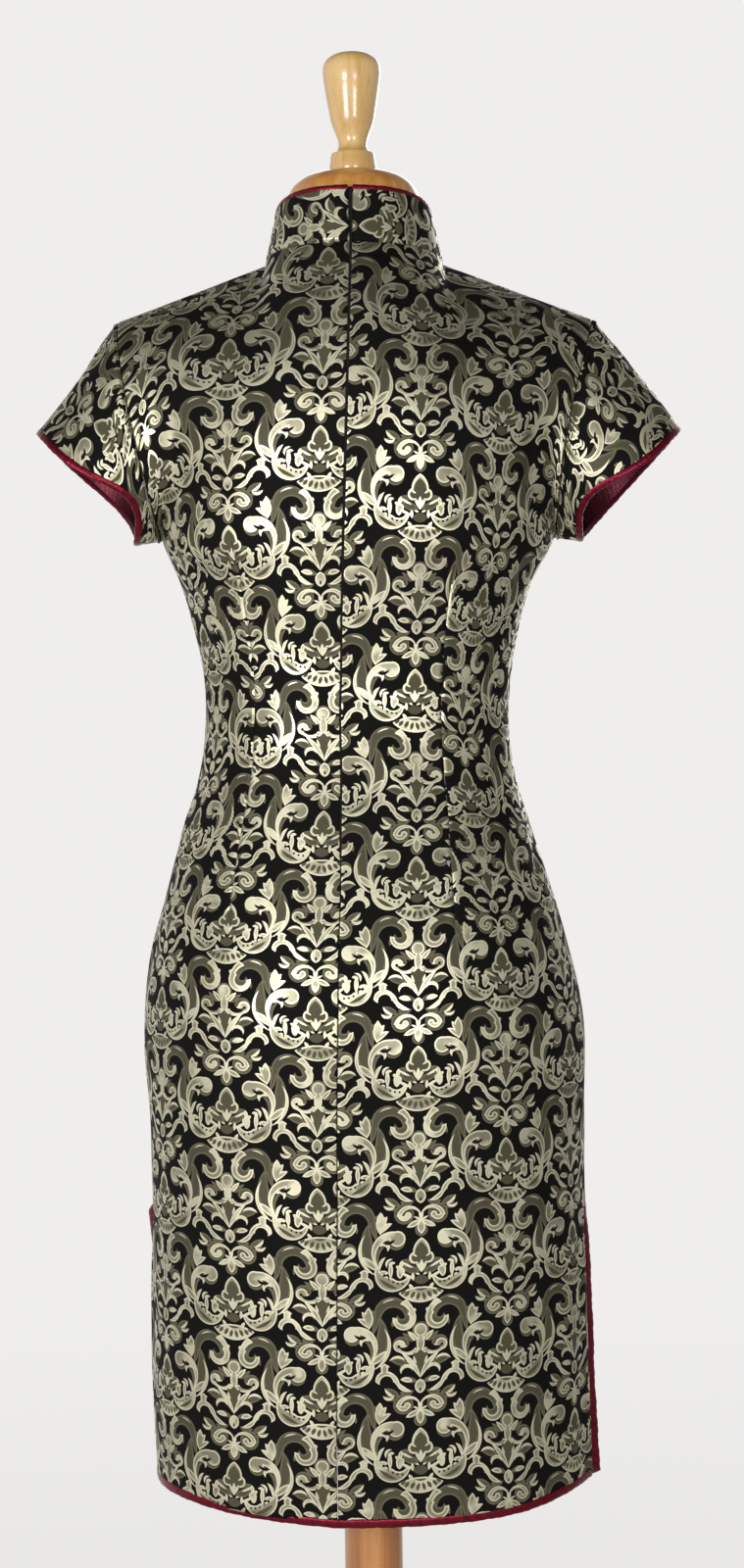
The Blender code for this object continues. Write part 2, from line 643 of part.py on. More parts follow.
def add_form(collection):
    """Torso, neck cap, finial, pole and base."""
    add_torso(collection)
    add_turned("form_neck_cap", CAP_PROFILE, collection, CAP_SIDES)
    add_turned("form_finial", FINIAL_PROFILE, collection, FINIAL_SIDES)
    pole = [(0.0, POLE_TOP), (POLE_RADIUS, POLE_TOP)]
    pole += [(POLE_RADIUS, POLE_BOTTOM), (0.0, POLE_BOTTOM)]
    add_turned("form_pole", pole, collection, POLE_SIDES)
    edge = [np.radians(angle) for angle in (90, 60, 30, 0)]
    rim = [(BASE_RADIUS - BASE_EDGE + BASE_EDGE * np.cos(angle),
            BASE_HEIGHT - BASE_EDGE + BASE_EDGE * np.sin(angle)) for angle in edge]
    base = [(0.0, BASE_HEIGHT), *rim, (BASE_RADIUS, 0.0), (0.0, 0.0)]
    add_turned("form_base", base, collection, BASE_SIDES)


def main():
    """Clears the scene and builds every piece."""
    for old in list(bpy.data.objects):
        bpy.data.objects.remove(old, do_unlink=True)
    collection = bpy.data.collections.new(OBJECT_NAME)
    bpy.context.scene.collection.children.link(collection)
    add_panels(collection)
    add_hem_bindings(collection)
    add_sleeves(collection)
    add_collar(collection)
    add_form(collection)


main()
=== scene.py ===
"""A knee-length cheongsam dress of damask brocade, bound in red satin, on a limbless dress form.

+X is the wearer's left, -Y the wearer's front and +Z up, in metres. Each cloth piece is worked out
as a grid of points: u runs across a panel from its centre line (0) to its side (1), and v is the
distance up the cloth, which equals the height below the underarm.
"""
import bpy
import numpy as np
from mathutils import Matrix, Vector


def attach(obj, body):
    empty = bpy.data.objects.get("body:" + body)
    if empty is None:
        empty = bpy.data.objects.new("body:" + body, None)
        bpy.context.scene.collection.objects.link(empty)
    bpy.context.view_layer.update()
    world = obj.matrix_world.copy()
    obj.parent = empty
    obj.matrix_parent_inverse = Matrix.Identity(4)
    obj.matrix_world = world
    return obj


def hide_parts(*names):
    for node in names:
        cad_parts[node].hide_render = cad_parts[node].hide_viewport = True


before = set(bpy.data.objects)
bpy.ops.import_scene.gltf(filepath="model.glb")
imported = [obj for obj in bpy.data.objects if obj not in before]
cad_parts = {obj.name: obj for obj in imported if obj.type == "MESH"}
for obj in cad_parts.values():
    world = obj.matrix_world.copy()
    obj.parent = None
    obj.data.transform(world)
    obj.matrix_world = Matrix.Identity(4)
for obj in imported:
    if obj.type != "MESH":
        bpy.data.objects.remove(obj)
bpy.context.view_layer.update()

# Walls, seams and trim
CLOTH = 0.0015
SHEET = 0.0009
SEAM = 0.0003
HEM_BINDING = 0.0066
SLEEVE_BINDING = 0.0058
COLLAR_BINDING = 0.0040
BINDING_WALL = 0.0024
FACING_WIDTH = 0.010
FACING_WALL = 0.0010

# Heights of the dress above the floor
HEM = 0.4475
SLIT_TOP = 0.657
UNDERARM = 1.186

# Height of the hem from the centre (0) to the slit (1), lower at the centre
HEM_COLUMNS = ("across", "left", "right")
HEM_ROWS = (
    (0.00, 0.4310, 0.4310),
    (0.25, 0.4365, 0.4317),
    (0.50, 0.4425, 0.4350),
    (0.75, 0.4450, 0.4430),
    (1.00, 0.4465, 0.4480),
)

# The body of the dress: inner face of the cloth at each height. Sway moves a row sideways, twist
# is how far the whole row has turned round the form and seam how far the back seam alone has.
BODY_COLUMNS = ("height", "half_width", "back", "front", "sway", "twist", "seam")
BODY_ROWS = (
    (0.425, 0.1715, 0.111, 0.105, -0.0030, 0.0305, -0.0036),   # below the hem
    (0.520, 0.1720, 0.113, 0.107, -0.0016, 0.0288, -0.0036),   # knee
    (0.600, 0.1715, 0.114, 0.107, -0.0012, 0.0269, -0.0034),
    (0.680, 0.1700, 0.116, 0.106, -0.0005, 0.0240, -0.0024),   # slit top
    (0.740, 0.1710, 0.119, 0.106, 0.0000, 0.0225, -0.0021),
    (0.800, 0.1728, 0.122, 0.108, 0.0013, 0.0190, -0.0012),    # hip
    (0.829, 0.1700, 0.121, 0.109, 0.0026, 0.0165, -0.0006),
    (0.866, 0.1625, 0.116, 0.109, 0.0040, 0.0135, 0.0003),
    (0.905, 0.1515, 0.107, 0.108, 0.0040, 0.0105, 0.0016),
    (0.956, 0.1360, 0.094, 0.104, 0.0046, 0.0080, 0.0029),
    (1.000, 0.1232, 0.084, 0.099, 0.0042, 0.0060, 0.0043),
    (1.040, 0.1190, 0.079, 0.097, 0.0034, 0.0050, 0.0063),    # waist
    (1.077, 0.1205, 0.080, 0.099, 0.0023, 0.0035, 0.0076),
    (1.122, 0.1295, 0.088, 0.106, 0.0026, 0.0020, 0.0078),    # ribs
    (1.150, 0.1375, 0.094, 0.112, 0.0020, 0.0010, 0.0082),
    (1.186, 0.1540, 0.101, 0.118, 0.0000, 0.0000, 0.0099),    # underarm
)
SQUARENESS = 0.022

# Above the underarm: the cloth's length up to the shoulder, how far each column bends over near
# the neck and how much more near the armhole, and how rounded that bend is
UPPER_LENGTH = 0.215
SHOULDER_BEND = (58, 20)
SHOULDER_ROUNDNESS = (2.1, 0.9)
BEND_REACH = 0.55
RISE_SHARE = 0.6
TOP_SOFTNESS = 0.30
NECK_SEAM_SHIFT = 0.0021
SHOULDER_TILT = 0.0085
BLADE_FULLNESS = 0.012
CHEST_FULLNESS = 0.004

# Bust cups of the front: the place of a cup's crown and how far it stands out
BUST_ACROSS = 0.080
BUST_HEIGHT = 1.190
BUST_DEPTH = 0.014
BUST_SPREAD = (0.048, 0.055)
BUST_BRIDGE = 0.45

# Neckline and collar: an oval seen from above, lower at the front than at the back
NECK_SIDE = 0.0690
NECK_BACK = 0.0620
NECK_FRONT = 0.0780
NECK_HEIGHT = 1.4080
NECK_FRONT_DROP = 0.046
NECK_DROP_POWER = 3.5
COLLAR_TOP_SIDE = 0.0605
COLLAR_TOP_BACK = 0.0565
COLLAR_TOP_FRONT = 0.0680
COLLAR_TOP_HEIGHT = 1.4535
COLLAR_TOP_FRONT_DROP = 0.0485
COLLAR_TOP_DROP_POWER = 2.0
COLLAR_LIFT = 0.0019
COLLAR_LENGTH = 0.225
COLLAR_HEIGHT = 0.044
COLLAR_CORNER = 0.016
COLLAR_GAP_TOP = 0.0017
COLLAR_GAP_BASE = 0.0006
COLLAR_GAP_TURN = 0.6

# Shoulder and armhole
NECK_SHARE = 1 / 3
SHOULDER = (0.1875, -0.006, 1.3585)
ARMHOLE_BOTTOM = (0.1545, 0.0, UNDERARM)
ARMHOLE_BACK = 0.048
ARMHOLE_FRONT = 0.045
ARMHOLE_BACK_CUT = {"left": 0.002, "right": 0.012}
ARMHOLE_FRONT_CUT = {"left": 0.008, "right": 0.008}

# Sleeve hem: its highest and lowest points and its half width from front to back
SLEEVE_TIP = {"left": (0.2540, -0.005, 1.2695), "right": (0.2575, -0.005, 1.2695)}
SLEEVE_UNDER = (0.1790, -0.004, 1.1835)
SLEEVE_HALF = 0.052
SLEEVE_BACK_ARCH = {"left": 0.058, "right": 0.052}
SLEEVE_FRONT_ARCH = {"left": 0.0145, "right": 0.001}
SLEEVE_ARCH_POWER = {"back": 3.0, "front": 1.5}
SLEEVE_CROWN = {"left": -0.002, "right": 0.001}

# How far each panel's edge stands out at the hem, where the slits let it go
PANEL_WIDTH = 0.190
FLARE_REACH = 0.036
FLARE = {"back_left": 0.001, "back_right": 0.004, "front_left": 0.003, "front_right": 0.003}
SLIT_OPENING = 0.006

# The dress form: torso sections, then the turned wooden parts from top to bottom
TORSO_COLUMNS = ("height", "half_width", "back", "front")
TORSO_ROWS = (
    (0.780, 0.1500, 0.098, 0.088),
    (0.786, 0.1600, 0.108, 0.098),
    (0.820, 0.1640, 0.113, 0.101),
    (0.866, 0.1580, 0.109, 0.101),
    (0.905, 0.1460, 0.099, 0.100),
    (0.956, 0.1300, 0.086, 0.096),
    (1.000, 0.1165, 0.075, 0.091),    # waist
    (1.040, 0.1115, 0.070, 0.089),
    (1.077, 0.1130, 0.071, 0.091),
    (1.122, 0.1220, 0.079, 0.098),
    (1.150, 0.1290, 0.085, 0.104),
    (1.186, 0.1400, 0.091, 0.108),
    (1.225, 0.1480, 0.094, 0.106),
    (1.265, 0.1560, 0.091, 0.096),
    (1.300, 0.1630, 0.083, 0.087),
    (1.325, 0.1635, 0.070, 0.075),
    (1.342, 0.1595, 0.060, 0.068),    # shoulders
    (1.356, 0.1405, 0.0520, 0.063),
    (1.370, 0.1100, 0.0465, 0.059),
    (1.386, 0.0754, 0.0415, 0.053),
    (1.400, 0.0545, 0.0380, 0.045),
    (1.4354, 0.0450, 0.0375, 0.042),  # neck
)
CAP_PROFILE = (
    (0.0, 1.4750), (0.0200, 1.4747), (0.0330, 1.4728), (0.0430, 1.4685), (0.0500, 1.4615),
    (0.0530, 1.4520), (0.0520, 1.4435), (0.0485, 1.4378), (0.0440, 1.4363), (0.0, 1.4363),
)
FINIAL_PROFILE = (
    (0.0, 1.5715), (0.0090, 1.5709), (0.0160, 1.5688), (0.0206, 1.5652), (0.0227, 1.5606),
    (0.0230, 1.5560), (0.0216, 1.5440), (0.0175, 1.5190), (0.0134, 1.4935), (0.0150, 1.4922),
    (0.0172, 1.4908), (0.0177, 1.4882), (0.0177, 1.4753), (0.0, 1.4753),
)
POLE_RADIUS = 0.023
POLE_BOTTOM = 0.0303
POLE_TOP = 0.7797
BASE_RADIUS = 0.190
BASE_HEIGHT = 0.030
BASE_EDGE = 0.006


# ---------------------------------------------------------------- curves and surfaces

def smooth_curve(knots, values, at):
    """Cubic curve through the values, each slope taken from the two neighbours."""
    knots = np.asarray(knots, float)
    values = np.asarray(values, float)
    slopes = np.gradient(values, knots, axis=0)
    at = np.clip(at, knots[0], knots[-1])
    cell = np.clip(np.searchsorted(knots, at, side="right") - 1, 0, len(knots) - 2)
    width = knots[cell + 1] - knots[cell]
    along = (at - knots[cell]) / width
    if values.ndim == 1:
        start, end = values[cell], values[cell + 1]
        leave, arrive = slopes[cell] * width, slopes[cell + 1] * width
    else:
        column = np.arange(values.shape[1])
        start, end = values[cell, column], values[cell + 1, column]
        width = width[:, None]
        leave, arrive = slopes[cell, column] * width, slopes[cell + 1, column] * width
        along = along[:, None]
    return ((2 * along**3 - 3 * along**2 + 1) * start + (along**3 - 2 * along**2 + along) * leave
            + (3 * along**2 - 2 * along**3) * end + (along**3 - along**2) * arrive)


def smooth_step(value):
    """Rises from 0 to 1 with level ends."""
    value = np.clip(value, 0, 1)
    return value * value * (3 - 2 * value)


def column_of(rows, names, name, height):
    """One named column of a table, read at any height."""
    table = np.array(rows)
    return smooth_curve(table[:, 0], table[:, names.index(name)], height)


def oval(turn, half_width, back, front):
    """A slightly squared oval; turn is 0 at the centre back and grows towards the left side."""
    rest = 1 - SQUARENESS
    across = half_width * (np.sin(turn) + SQUARENESS * np.sin(3 * turn)) / rest
    depth = np.where(np.cos(turn) > 0, back, front)
    deep = depth * (np.cos(turn) - SQUARENESS * np.cos(3 * turn)) / rest
    return across, deep


def body_row(u, height, is_back, hand):
    """Points of a panel at one height below the underarm, or at it."""
    sizes = {name: column_of(BODY_ROWS, BODY_COLUMNS, name, height) for name in BODY_COLUMNS}
    turn = hand * (u * np.pi / 2 if is_back else np.pi - u * np.pi / 2)
    moved = sizes["twist"] + sizes["seam"] * smooth_step(1 - u) * is_back
    across, deep = oval(turn + moved / sizes["half_width"],
                        sizes["half_width"], sizes["back"], sizes["front"])
    return np.stack([across + sizes["sway"], deep, np.full_like(turn, height)], axis=-1)


def neck_ring(turn, side, back, front, height, drop, power):
    """The neckline or the collar's top edge; turn is 0 at the centre back, 180 degrees in front."""
    middle = (back - front) / 2
    deep = middle + (back + front) / 2 * np.cos(turn)
    fall = drop * ((1 - np.cos(turn)) / 2) ** power
    return np.stack([side * np.sin(turn), deep, height - fall], axis=-1)


def neckline(turn):
    """Where the cloth ends round the neck."""
    return neck_ring(turn, NECK_SIDE, NECK_BACK, NECK_FRONT,
                     NECK_HEIGHT, NECK_FRONT_DROP, NECK_DROP_POWER)


def collar_top(turn):
    """The top edge of the stand collar."""
    return neck_ring(turn, COLLAR_TOP_SIDE, COLLAR_TOP_BACK, COLLAR_TOP_FRONT,
                     COLLAR_TOP_HEIGHT, COLLAR_TOP_FRONT_DROP, COLLAR_TOP_DROP_POWER)


def armhole(turn, side):
    """Armhole of a side: turn is 0 at the underarm, 90 degrees at the back, 180 at the shoulder."""
    rise = (1 - np.cos(turn)) / 2
    across = ARMHOLE_BOTTOM[0] + (SHOULDER[0] - ARMHOLE_BOTTOM[0]) * (1 - (1 - rise) ** 1.6)
    at_back = np.sin(turn) > 0
    cut = np.where(at_back, ARMHOLE_BACK_CUT[side], ARMHOLE_FRONT_CUT[side])
    across = across - cut * np.sin(turn) ** 2
    depth = np.where(at_back, ARMHOLE_BACK, ARMHOLE_FRONT)
    deep = SHOULDER[1] * rise + depth * np.sin(turn)
    hand = 1 if side == "left" else -1
    return np.stack([hand * across, deep, UNDERARM + (SHOULDER[2] - UNDERARM) * rise], axis=-1)


def top_edge(u, is_back, hand):
    """Neckline from the centre line to the neck's side, then the shoulder seam.

    A negative u goes on round the neckline on the other side.
    """
    share = np.clip(np.abs(u) / NECK_SHARE, 0, 1)
    turn = share * np.pi / 2 if is_back else np.pi - share * np.pi / 2
    neck = neckline(turn) * np.stack([np.sign(u), np.ones_like(u), np.ones_like(u)], axis=-1)
    along = np.clip((u - NECK_SHARE) / (1 - NECK_SHARE), 0, None)[:, None]
    edge = neck + along * (np.array(SHOULDER) - neckline(np.array([np.pi / 2]))[0])
    edge = edge * (hand, 1, 1)
    edge[:, 0] += NECK_SEAM_SHIFT * smooth_step(1 - share) * is_back
    return edge


def soft_top_edge(u, share, is_back, hand):
    """The top edge as the rows below it see it: its corner at the neck is rounded off."""
    spread = TOP_SOFTNESS * (1 - share)
    if spread < 0.004:
        return top_edge(u, is_back, hand)
    reach = np.linspace(-0.5, 1.5, 121)
    weight = np.exp(-((u[:, None] - reach[None, :]) / spread) ** 2)
    return weight @ top_edge(reach, is_back, hand) / weight.sum(axis=1, keepdims=True)


def upper_row(u, share, is_back, hand):
    """Points of a panel above the underarm, share of the way up to its top edge.

    Each column bends from upright at the underarm level over to the shoulder, as a quarter of a
    rounded oval, and the columns near the armhole are drawn over to it.
    """
    low = body_row(u, UNDERARM, is_back, hand)
    high = soft_top_edge(u, share, is_back, hand)
    past_neck = smooth_step(u / BEND_REACH)
    bend = np.radians(SHOULDER_BEND[0] + SHOULDER_BEND[1] * past_neck)
    power = 2 / (SHOULDER_ROUNDNESS[0] + SHOULDER_ROUNDNESS[1] * past_neck)
    end_y = np.cos(bend) ** power
    go_y = (np.cos(share * bend) ** power - end_y) / (1 - end_y)
    go_z = np.sin(share * bend) ** power / np.sin(bend) ** power
    steady = share + (go_z - share) * RISE_SHARE
    rows = high + (low - high) * np.stack([1 - steady, go_y, 1 - steady], axis=-1)
    fullness = BLADE_FULLNESS if is_back else CHEST_FULLNESS
    out = fullness * np.sin(np.pi * share) ** 1.2 * np.cos(np.clip(u, 0, 1) * np.pi / 2) ** 0.5
    rows[:, 1] += out if is_back else -out
    return rows


def upper_points(u, share, is_back, hand):
    """An upper row drawn over to its armhole."""
    rows = upper_row(u, share, is_back, hand)
    side = "left" if hand > 0 else "right"
    edge = armhole(np.array([np.pi * share if is_back else -np.pi * share]), side)
    return rows + (edge - upper_row(np.array([1.0]), share, is_back, hand)) * (u**4)[:, None]


def settle(points):
    """The shoulders, sleeves and collar sit slightly higher on the wearer's left."""
    moved = points.copy()
    moved[..., 2] += SHOULDER_TILT * points[..., 0] * smooth_step((points[..., 2] - 1.0) / 0.3)
    return moved


def bust(points):
    """Moves the front's points out over two soft cups."""
    wide = (np.abs(points[:, 0]) - BUST_ACROSS) / BUST_SPREAD[0]
    tall = (points[:, 2] - BUST_HEIGHT) / BUST_SPREAD[1]
    bridge = np.where(np.abs(points[:, 0]) < BUST_ACROSS, BUST_BRIDGE * wide, wide)
    moved = points.copy()
    moved[:, 1] -= BUST_DEPTH * np.exp(-bridge**2 - tall**2)
    return moved


ARMHOLE_STEPS = 12


def panel_points(name, u, v):
    """Points of a panel; name is back_left, back_right, front_left or front_right."""
    shape = np.broadcast(u, v).shape
    u, v = (np.broadcast_to(part, shape).ravel().astype(float) for part in (u, v))
    is_back = name.startswith("back")
    hand = 1 if name.endswith("left") else -1
    low = [body_row(u, row[0], is_back, hand) for row in BODY_ROWS[:-1]]
    shares = np.linspace(0, 1, ARMHOLE_STEPS + 1)
    high = [upper_points(u, share, is_back, hand) for share in shares]
    knots = [row[0] for row in BODY_ROWS[:-1]] + list(UNDERARM + UPPER_LENGTH * shares)
    points = smooth_curve(knots, np.array(low + high), v)
    if not is_back:
        points = bust(points)
    let_go = np.clip((SLIT_TOP - v) / (SLIT_TOP - HEM), 0, 1) ** 2
    near = np.clip(1 - (1 - u) * PANEL_WIDTH / FLARE_REACH, 0, 1) ** 2
    points[:, 0] += hand * FLARE[name] * let_go * near
    points[:, 1] += (SEAM / 2 + SLIT_OPENING / 2 * let_go * near) * (1 if is_back else -1)
    if is_back:
        points[:, 0] += hand * SEAM / 2
    return settle(points).reshape(shape + (3,))


def hem_height(u, hand):
    """Height of the finished hem at a place across a panel."""
    return column_of(HEM_ROWS, HEM_COLUMNS, "left" if hand > 0 else "right", u)


def grid_normals(points, closed=False):
    """Unit normals of a grid of points, whose rows go up and columns go across."""
    if closed:
        points = np.concatenate([points[:, -2:], points, points[:, :2]], axis=1)
    across = np.gradient(points, axis=1)
    up = np.gradient(points, axis=0)
    normal = np.cross(across, up)
    normal = normal / np.linalg.norm(normal, axis=-1, keepdims=True)
    return normal[:, 2:-2] if closed else normal


def grid_faces(rows, columns, closed):
    """Four-sided faces of a grid, with an optional join of the last column to the first."""
    last = columns if closed else columns - 1
    row, column = np.meshgrid(np.arange(rows - 1), np.arange(last), indexing="ij")
    after = (column + 1) % columns
    faces = [row * columns + column, row * columns + after,
             (row + 1) * columns + after, (row + 1) * columns + column]
    return np.stack(faces, axis=-1).reshape(-1, 4)


def close_places(length, lines, step):
    """Places along a length in millimetres, one step apart but closer beside each sewn line."""
    beside = np.array([0.25, 0.55, 0.9, 1.4, 2.1])
    beside = np.concatenate([-beside[::-1], [0.0], beside])
    places = np.arange(0, length + step / 2, step)
    for line in lines:
        places = places[np.abs(places - line) > beside[-1] + step / 3]
        places = np.concatenate([places, line + beside])
    places = np.sort(places)
    return places[(places >= -1e-6) & (places <= length + 1e-6)]


def rolled_edge(distance, radius, depth):
    """How far cloth sinks as it turns under at a seam: a quarter of an oval, in one unit."""
    inside = 1 - np.clip(distance / radius, 0, 1)
    return -depth * (1 - np.sqrt(1 - inside**2))


def crease_relief(creases, across, up):
    """Height of soft folds, in millimetres, at places on a flat piece in millimetres.

    Each row of the table is a fold from (x1, y1) to (x2, y2): how far its middle bows sideways,
    its half width, its height (negative for a trough), and how uneven its two flanks are.
    """
    relief = np.zeros_like(across)
    for x1, y1, x2, y2, bow, width, height, lean in creases:
        length = np.hypot(x2 - x1, y2 - y1)
        along = ((across - x1) * (x2 - x1) + (up - y1) * (y2 - y1)) / length**2
        aside = ((up - y1) * (x2 - x1) - (across - x1) * (y2 - y1)) / length
        inside = np.clip(along, 0, 1)
        aside = aside - bow * 4 * inside * (1 - inside)
        past = (along - inside) * length
        spread = width * (0.55 + 0.45 * np.sin(np.pi * inside)) * np.where(aside > 0, 1 + lean, 1 - lean)
        fade = np.sin(np.pi * np.clip(inside, 0.02, 0.98)) ** 0.8
        relief += height * fade * np.exp(-(aside / spread) ** 2 - (past / width) ** 2)
    return relief


def slow_waves(across, up, size, seed):
    """Cloth is never quite even: five broad crossing waves with fixed turns, in millimetres."""
    waves = np.zeros_like(across)
    for index in range(5):
        turn = seed * 1.7 + index * 2.39996
        pace = 2 * np.pi / (70 + 23 * index)
        waves += np.sin((across * np.cos(turn) * 1.6 + up * np.sin(turn)) * pace + turn * 5.1)
    return waves * size / 5


# ---------------------------------------------------------------- meshes

def add_mesh(name, points, faces, covering, cut=None):
    """A smooth mesh from points and faces, with the cut's place of each face corner in its UV map.

    cut holds a place on the flat cloth for each corner of each face, in millimetres.
    """
    mesh = bpy.data.meshes.new(name)
    faces = faces if isinstance(faces, list) else faces.tolist()
    mesh.from_pydata(points.reshape(-1, 3).tolist(), [], faces)
    if cut is not None:
        layer = mesh.uv_layers.new(name="cut")
        layer.data.foreach_set("uv", cut.astype(np.float32).ravel())
    mesh.shade_smooth()
    made = bpy.data.objects.new(name, mesh)
    bpy.context.scene.collection.objects.link(made)
    for surface in (covering if isinstance(covering, tuple) else (covering,)):
        mesh.materials.append(surface)
    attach(made, "root")
    return made


def flat_cut(points, middle_row):
    """Place of each grid point on the flat cloth, in millimetres, by lengths along the cloth.

    Up is the length along a column from the middle row; across is the rest of the length of each
    step along a row.
    """
    step_up = np.linalg.norm(np.diff(points, axis=0), axis=-1)
    up = np.concatenate([np.zeros((1, points.shape[1])), np.cumsum(step_up, axis=0)])
    up = up - up[middle_row]
    step = np.linalg.norm(np.diff(points, axis=1), axis=-1)
    across = np.sqrt(np.maximum(step**2 - np.diff(up, axis=1) ** 2, 0.2 * step**2))
    across = np.concatenate([np.zeros((points.shape[0], 1)), np.cumsum(across, axis=1)], axis=1)
    return np.stack([across, up], axis=-1) * 1000


def add_cloth(name, points, covering, place, closed=False, flip=False, wall=SHEET, moved=None):
    """A grid of points on the outer face of a cloth piece, with its wall thickened inwards.

    place is each point's place on the flat cloth; a closed grid has one more column of them.
    moved shifts that place for the faces of each column, as a dart does.
    """
    rows, columns = points.shape[:2]
    faces = grid_faces(rows, columns, closed)
    corners = grid_faces(rows, place.shape[1], False)
    cut = place.reshape(-1, 2)[corners]
    if moved is not None:
        cut = cut + moved.reshape(-1, 1, 2)
    if flip:
        faces = faces[:, ::-1]
        cut = cut[:, ::-1]
    made = add_mesh(name, points, faces, covering, cut)
    thicken = made.modifiers.new("wall", "SOLIDIFY")
    thicken.thickness = wall
    thicken.offset = -1
    return made


def add_ribbon(name, outer, inner, normals, covering, ring=False, wall=BINDING_WALL):
    """Satin folded round an edge: a rounded flat section carried along the edge.

    outer is the finished edge and inner the line where the binding is sewn to the cloth.
    """
    middle = (outer + inner) / 2
    half = (outer - inner) / 2 * 1.06
    onward = np.roll(middle, -1, axis=0) - middle
    step = np.linalg.norm(onward, axis=1) * 1000
    length = np.concatenate([[0], np.cumsum(step)])
    turn = np.linspace(0, 2 * np.pi, RIBBON_SIDES, endpoint=False)
    wide = np.sign(np.cos(turn)) * np.abs(np.cos(turn)) ** 0.75
    thick = np.sign(np.sin(turn)) * np.abs(np.sin(turn)) ** 0.85
    at = length[:-1] * (2 * np.pi / length[-1])
    pull = 1 + 0.05 * np.sin(np.round(length[-1] / 7.5) * at) + 0.05 * np.sin(np.round(length[-1] / 21) * at)
    plump = 1 + 0.12 * np.sin(np.round(length[-1] / 5) * at) * np.sin(np.round(length[-1] / 57) * at)
    points = (middle[:, None] + half[:, None] * (wide[None, :] * pull[:, None])[..., None]
              + normals[:, None] * (thick[None, :] * plump[:, None])[..., None] * wall / 2)
    rows, columns = points.shape[:2]
    last = rows if ring else rows - 1
    row, column = np.meshgrid(np.arange(last), np.arange(columns), indexing="ij")
    steps = ((0, 0), (0, 1), (1, 1), (1, 0))
    faces = np.stack([(row + up) % rows * columns + (column + on) % columns for up, on in steps], axis=-1)
    corners = np.stack([(row + up) * (columns + 1) + column + on for up, on in steps], axis=-1)
    around = np.linspace(0, np.linalg.norm(half, axis=1).mean() * 4400, columns + 1)
    place = np.stack(np.meshgrid(length, around, indexing="ij"), axis=-1).reshape(-1, 2)
    faces, cut = faces.reshape(-1, 4), place[corners.reshape(-1, 4)]
    outwards = (np.cross(normals[:-1], onward[:-1]) * half[:-1]).sum() > 0
    if not outwards:
        faces, cut = faces[:, ::-1], cut[:, ::-1]
    faces, cut = faces.tolist(), cut.reshape(-1, 2)
    if not ring:
        start, end = list(range(columns)), list(range((rows - 1) * columns, rows * columns))
        faces += [start[::-1], end] if outwards else [start, end[::-1]]
        cut = np.concatenate([cut, np.zeros((2 * columns, 2))])
    return add_mesh(name, points, faces, covering, cut)


# ---------------------------------------------------------------- the dress

